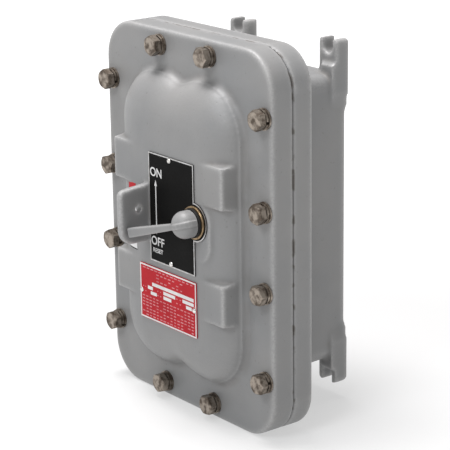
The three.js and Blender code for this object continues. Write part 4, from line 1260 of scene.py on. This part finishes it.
def dashes(name, rows, columns, across, down, seed, kept):
    """Rows of dashes over a part of the red plate."""
    x0, z0 = on_red(across[0], down[1])
    x1, z1 = on_red(across[1], down[0])
    sizes_in = {
        "Width": x1 - x0,
        "Height": z1 - z0,
        "Dash length": (x1 - x0) / columns,
        "Dash height": DASH_H,
    }
    tree, sizes = start_repeat(name, sizes_in)
    grid_inputs = {
        "Size X": sizes["Width"],
        "Size Y": sizes["Height"],
        "Vertices X": columns,
        "Vertices Y": rows,
    }
    grid = tree.make("GeometryNodeMeshGrid", None, grid_inputs)
    chance = {"Probability": 1 - kept, "Seed": seed}
    dropped = tree.make("FunctionNodeRandomValue", {"data_type": "BOOLEAN"}, chance, out=3)
    chosen = {"Geometry": grid, "Selection": dropped}
    grid = tree.make("GeometryNodeDeleteGeometry", {"domain": "POINT"}, chosen)
    size = tree.make(
        "ShaderNodeCombineXYZ",
        None,
        {"X": sizes["Dash length"], "Y": sizes["Dash height"], "Z": PRINT_T},
    )
    dash = tree.make("GeometryNodeMeshCube", None, {"Size": size})
    spread = {2: DASH_SHORT, 3: DASH_LONG, "Seed": seed}
    length = tree.make("FunctionNodeRandomValue", {"data_type": "FLOAT"}, spread, out=1)
    scale = tree.make("ShaderNodeCombineXYZ", None, {"X": length, "Y": 1.0, "Z": 1.0})
    placed = {"Points": grid, "Instance": dash, "Scale": scale}
    copies = tree.make("GeometryNodeInstanceOnPoints", None, placed)
    real = tree.make("GeometryNodeRealizeInstances", None, {0: copies})
    shown = tree.make("GeometryNodeSetMaterial", None, {"Geometry": real, "Material": PINK_PRINT})
    tree.make("NodeGroupOutput", None, {0: shown})
    piece = run_repeat(name, tree, sizes_in, [])
    middle = Vector(((x0 + x1) / 2, PLATE_FACE - PRINT_T / 2, (z0 + z1) / 2))
    piece.data.transform(Matrix.Translation(middle) @ Matrix.Rotation(math.pi / 2, 4, "X"))
    return piece.data, piece


dash_parts = [
    dashes("dashes_title", 1, 13, (0.08, 0.92), (0.07, 0.07), 3, 0.9),
    dashes("dashes_sub", 3, 7, (0.32, 0.74), (0.13, 0.25), 5, 0.8),
    dashes("dashes_labels_left", 2, 2, (0.06, 0.10), (0.42, 0.50), 2, 1.0),
    dashes("dashes_labels_mid", 2, 2, (0.32, 0.37), (0.42, 0.50), 4, 1.0),
    dashes("dashes_labels_right", 2, 2, (0.66, 0.72), (0.42, 0.50), 6, 1.0),
    dashes("dashes_body", 7, 15, (0.06, 0.93), (0.59, 0.93), 11, 0.88),
]
joined = as_object("red_plate_dashes", [mesh for mesh, _ in dash_parts])
for _, part in dash_parts:
    bpy.data.objects.remove(part)
complete(joined, PINK_PRINT, "enclosure", "red_plate")

# %% [markdown]
# ## Blank label
# A narrow paper label sits behind the padlock ear, on the shoulder of the dome. It is bent to the
# dome's ellipse. Its wording is left out: only the red heading, the white field and the rule stay.


# %% Label
LABEL_X = -54.5 * mm
LABEL_W = 16 * mm
LABEL_TOP = 39 * mm
LABEL_HEADING_END = 29 * mm
LABEL_FIELD_END = -33 * mm
LABEL_BOTTOM = -34.2 * mm
LABEL_PROUD = 0.35 * mm
LABEL_T = 0.15 * mm


def bent_strip(name, z0, z1, material):
    """Thin strip that follows the left shoulder of the dome between two heights."""
    rows = []
    for i in range(13):
        x = LABEL_X - LABEL_W * i / 12
        out = (-x - FLAT_X) / DOME_SPREAD
        y = COVER_FACE - DOME_RISE * math.sqrt(1 - out * out) - LABEL_PROUD
        back = y + LABEL_T
        rows.append([Vector((x, back, z0)), Vector((x, y, z0)), Vector((x, y, z1)), Vector((x, back, z1))])
    complete(as_object(name, [loft(rows)]), material, "enclosure", "red_plate")


bent_strip("label_heading", LABEL_HEADING_END, LABEL_TOP, RED_PRINT)
bent_strip("label_field", LABEL_FIELD_END, LABEL_HEADING_END, PALE_PRINT)
bent_strip("label_rule", LABEL_BOTTOM, LABEL_FIELD_END, BLACK_PRINT)

# %% [markdown]
# ## Pieces that keep their CAD shape
# The plates' blanks, the shaft and everything behind the cover are already the right shape. They only
# need a surface.

# %% Materials for the frame's own nodes
surfaces = {
    "on_off_plate": BLACK_PRINT,
    "nameplate": RED_PRINT,
    "operating_shaft": STAINLESS,
    "handle_pin": STAINLESS,
    "shaft_retaining_ring": STAINLESS,
    "drive_crank": ZINC,
    "drive_yoke": ZINC,
    "mounting_pan": ZINC,
    "rotor_shaft": PHENOLIC,
    "switch_base": PHENOLIC,
    "fuse_base": PHENOLIC,
    "switch_blade": COPPER,
    "line_terminal": COPPER,
    "hinge_terminal": COPPER,
    "load_terminal": COPPER,
    "cartridge_fuse": FUSE,
}
for node_name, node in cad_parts.items():
    for family, material in surfaces.items():
        if node_name.startswith(family):
            node.data.materials.clear()
            node.data.materials.append(material)
print("surfaces for", len(surfaces), "families of nodes")

# %% [markdown]
# ## Floor
# The floor lies half a millimetre under the lowest edge of the housing and reaches far behind it, so
# that it fills the view. It glows a little, more with distance, so that it stays pale right to its edge.


# %% Floor
FLOOR_HALF = 12.0
FLOOR_GAP = 0.5 * mm


def distance_out(tree, where):
    """Distance of a point from the middle of the floor."""
    return tree.make("ShaderNodeVectorMath", {"operation": "LENGTH"}, {0: where}, out="Value")


def pale_floor():
    material, tree, where = start_material("pale_floor")
    cloud = tree.noise(where, 400 * mm, 2.0)
    colour = tree.mix(cloud, grey(0.34), grey(0.36))
    far = distance_out(tree, where).between(0.35, 1.5)
    glow = {"Emission Color": tree.mix(far, grey(0.50), grey(0.95)), "Emission Strength": 1.0}
    end_material(tree, colour, cloud * 0.05 + 0.9, cloud, 0.1 * mm, **glow)
    level = cad_low.z - FLOOR_GAP
    mesh = bpy.data.meshes.new("floor")
    corners = ((-1, -1), (1, -1), (1, 1), (-1, 1))
    points = [(x * FLOOR_HALF, y * FLOOR_HALF, level) for x, y in corners]
    mesh.from_pydata(points, [], [(0, 1, 2, 3)])
    floor = bpy.data.objects.new("floor", mesh)
    floor.data.materials.append(material)
    bpy.context.scene.collection.objects.link(floor)


pale_floor()
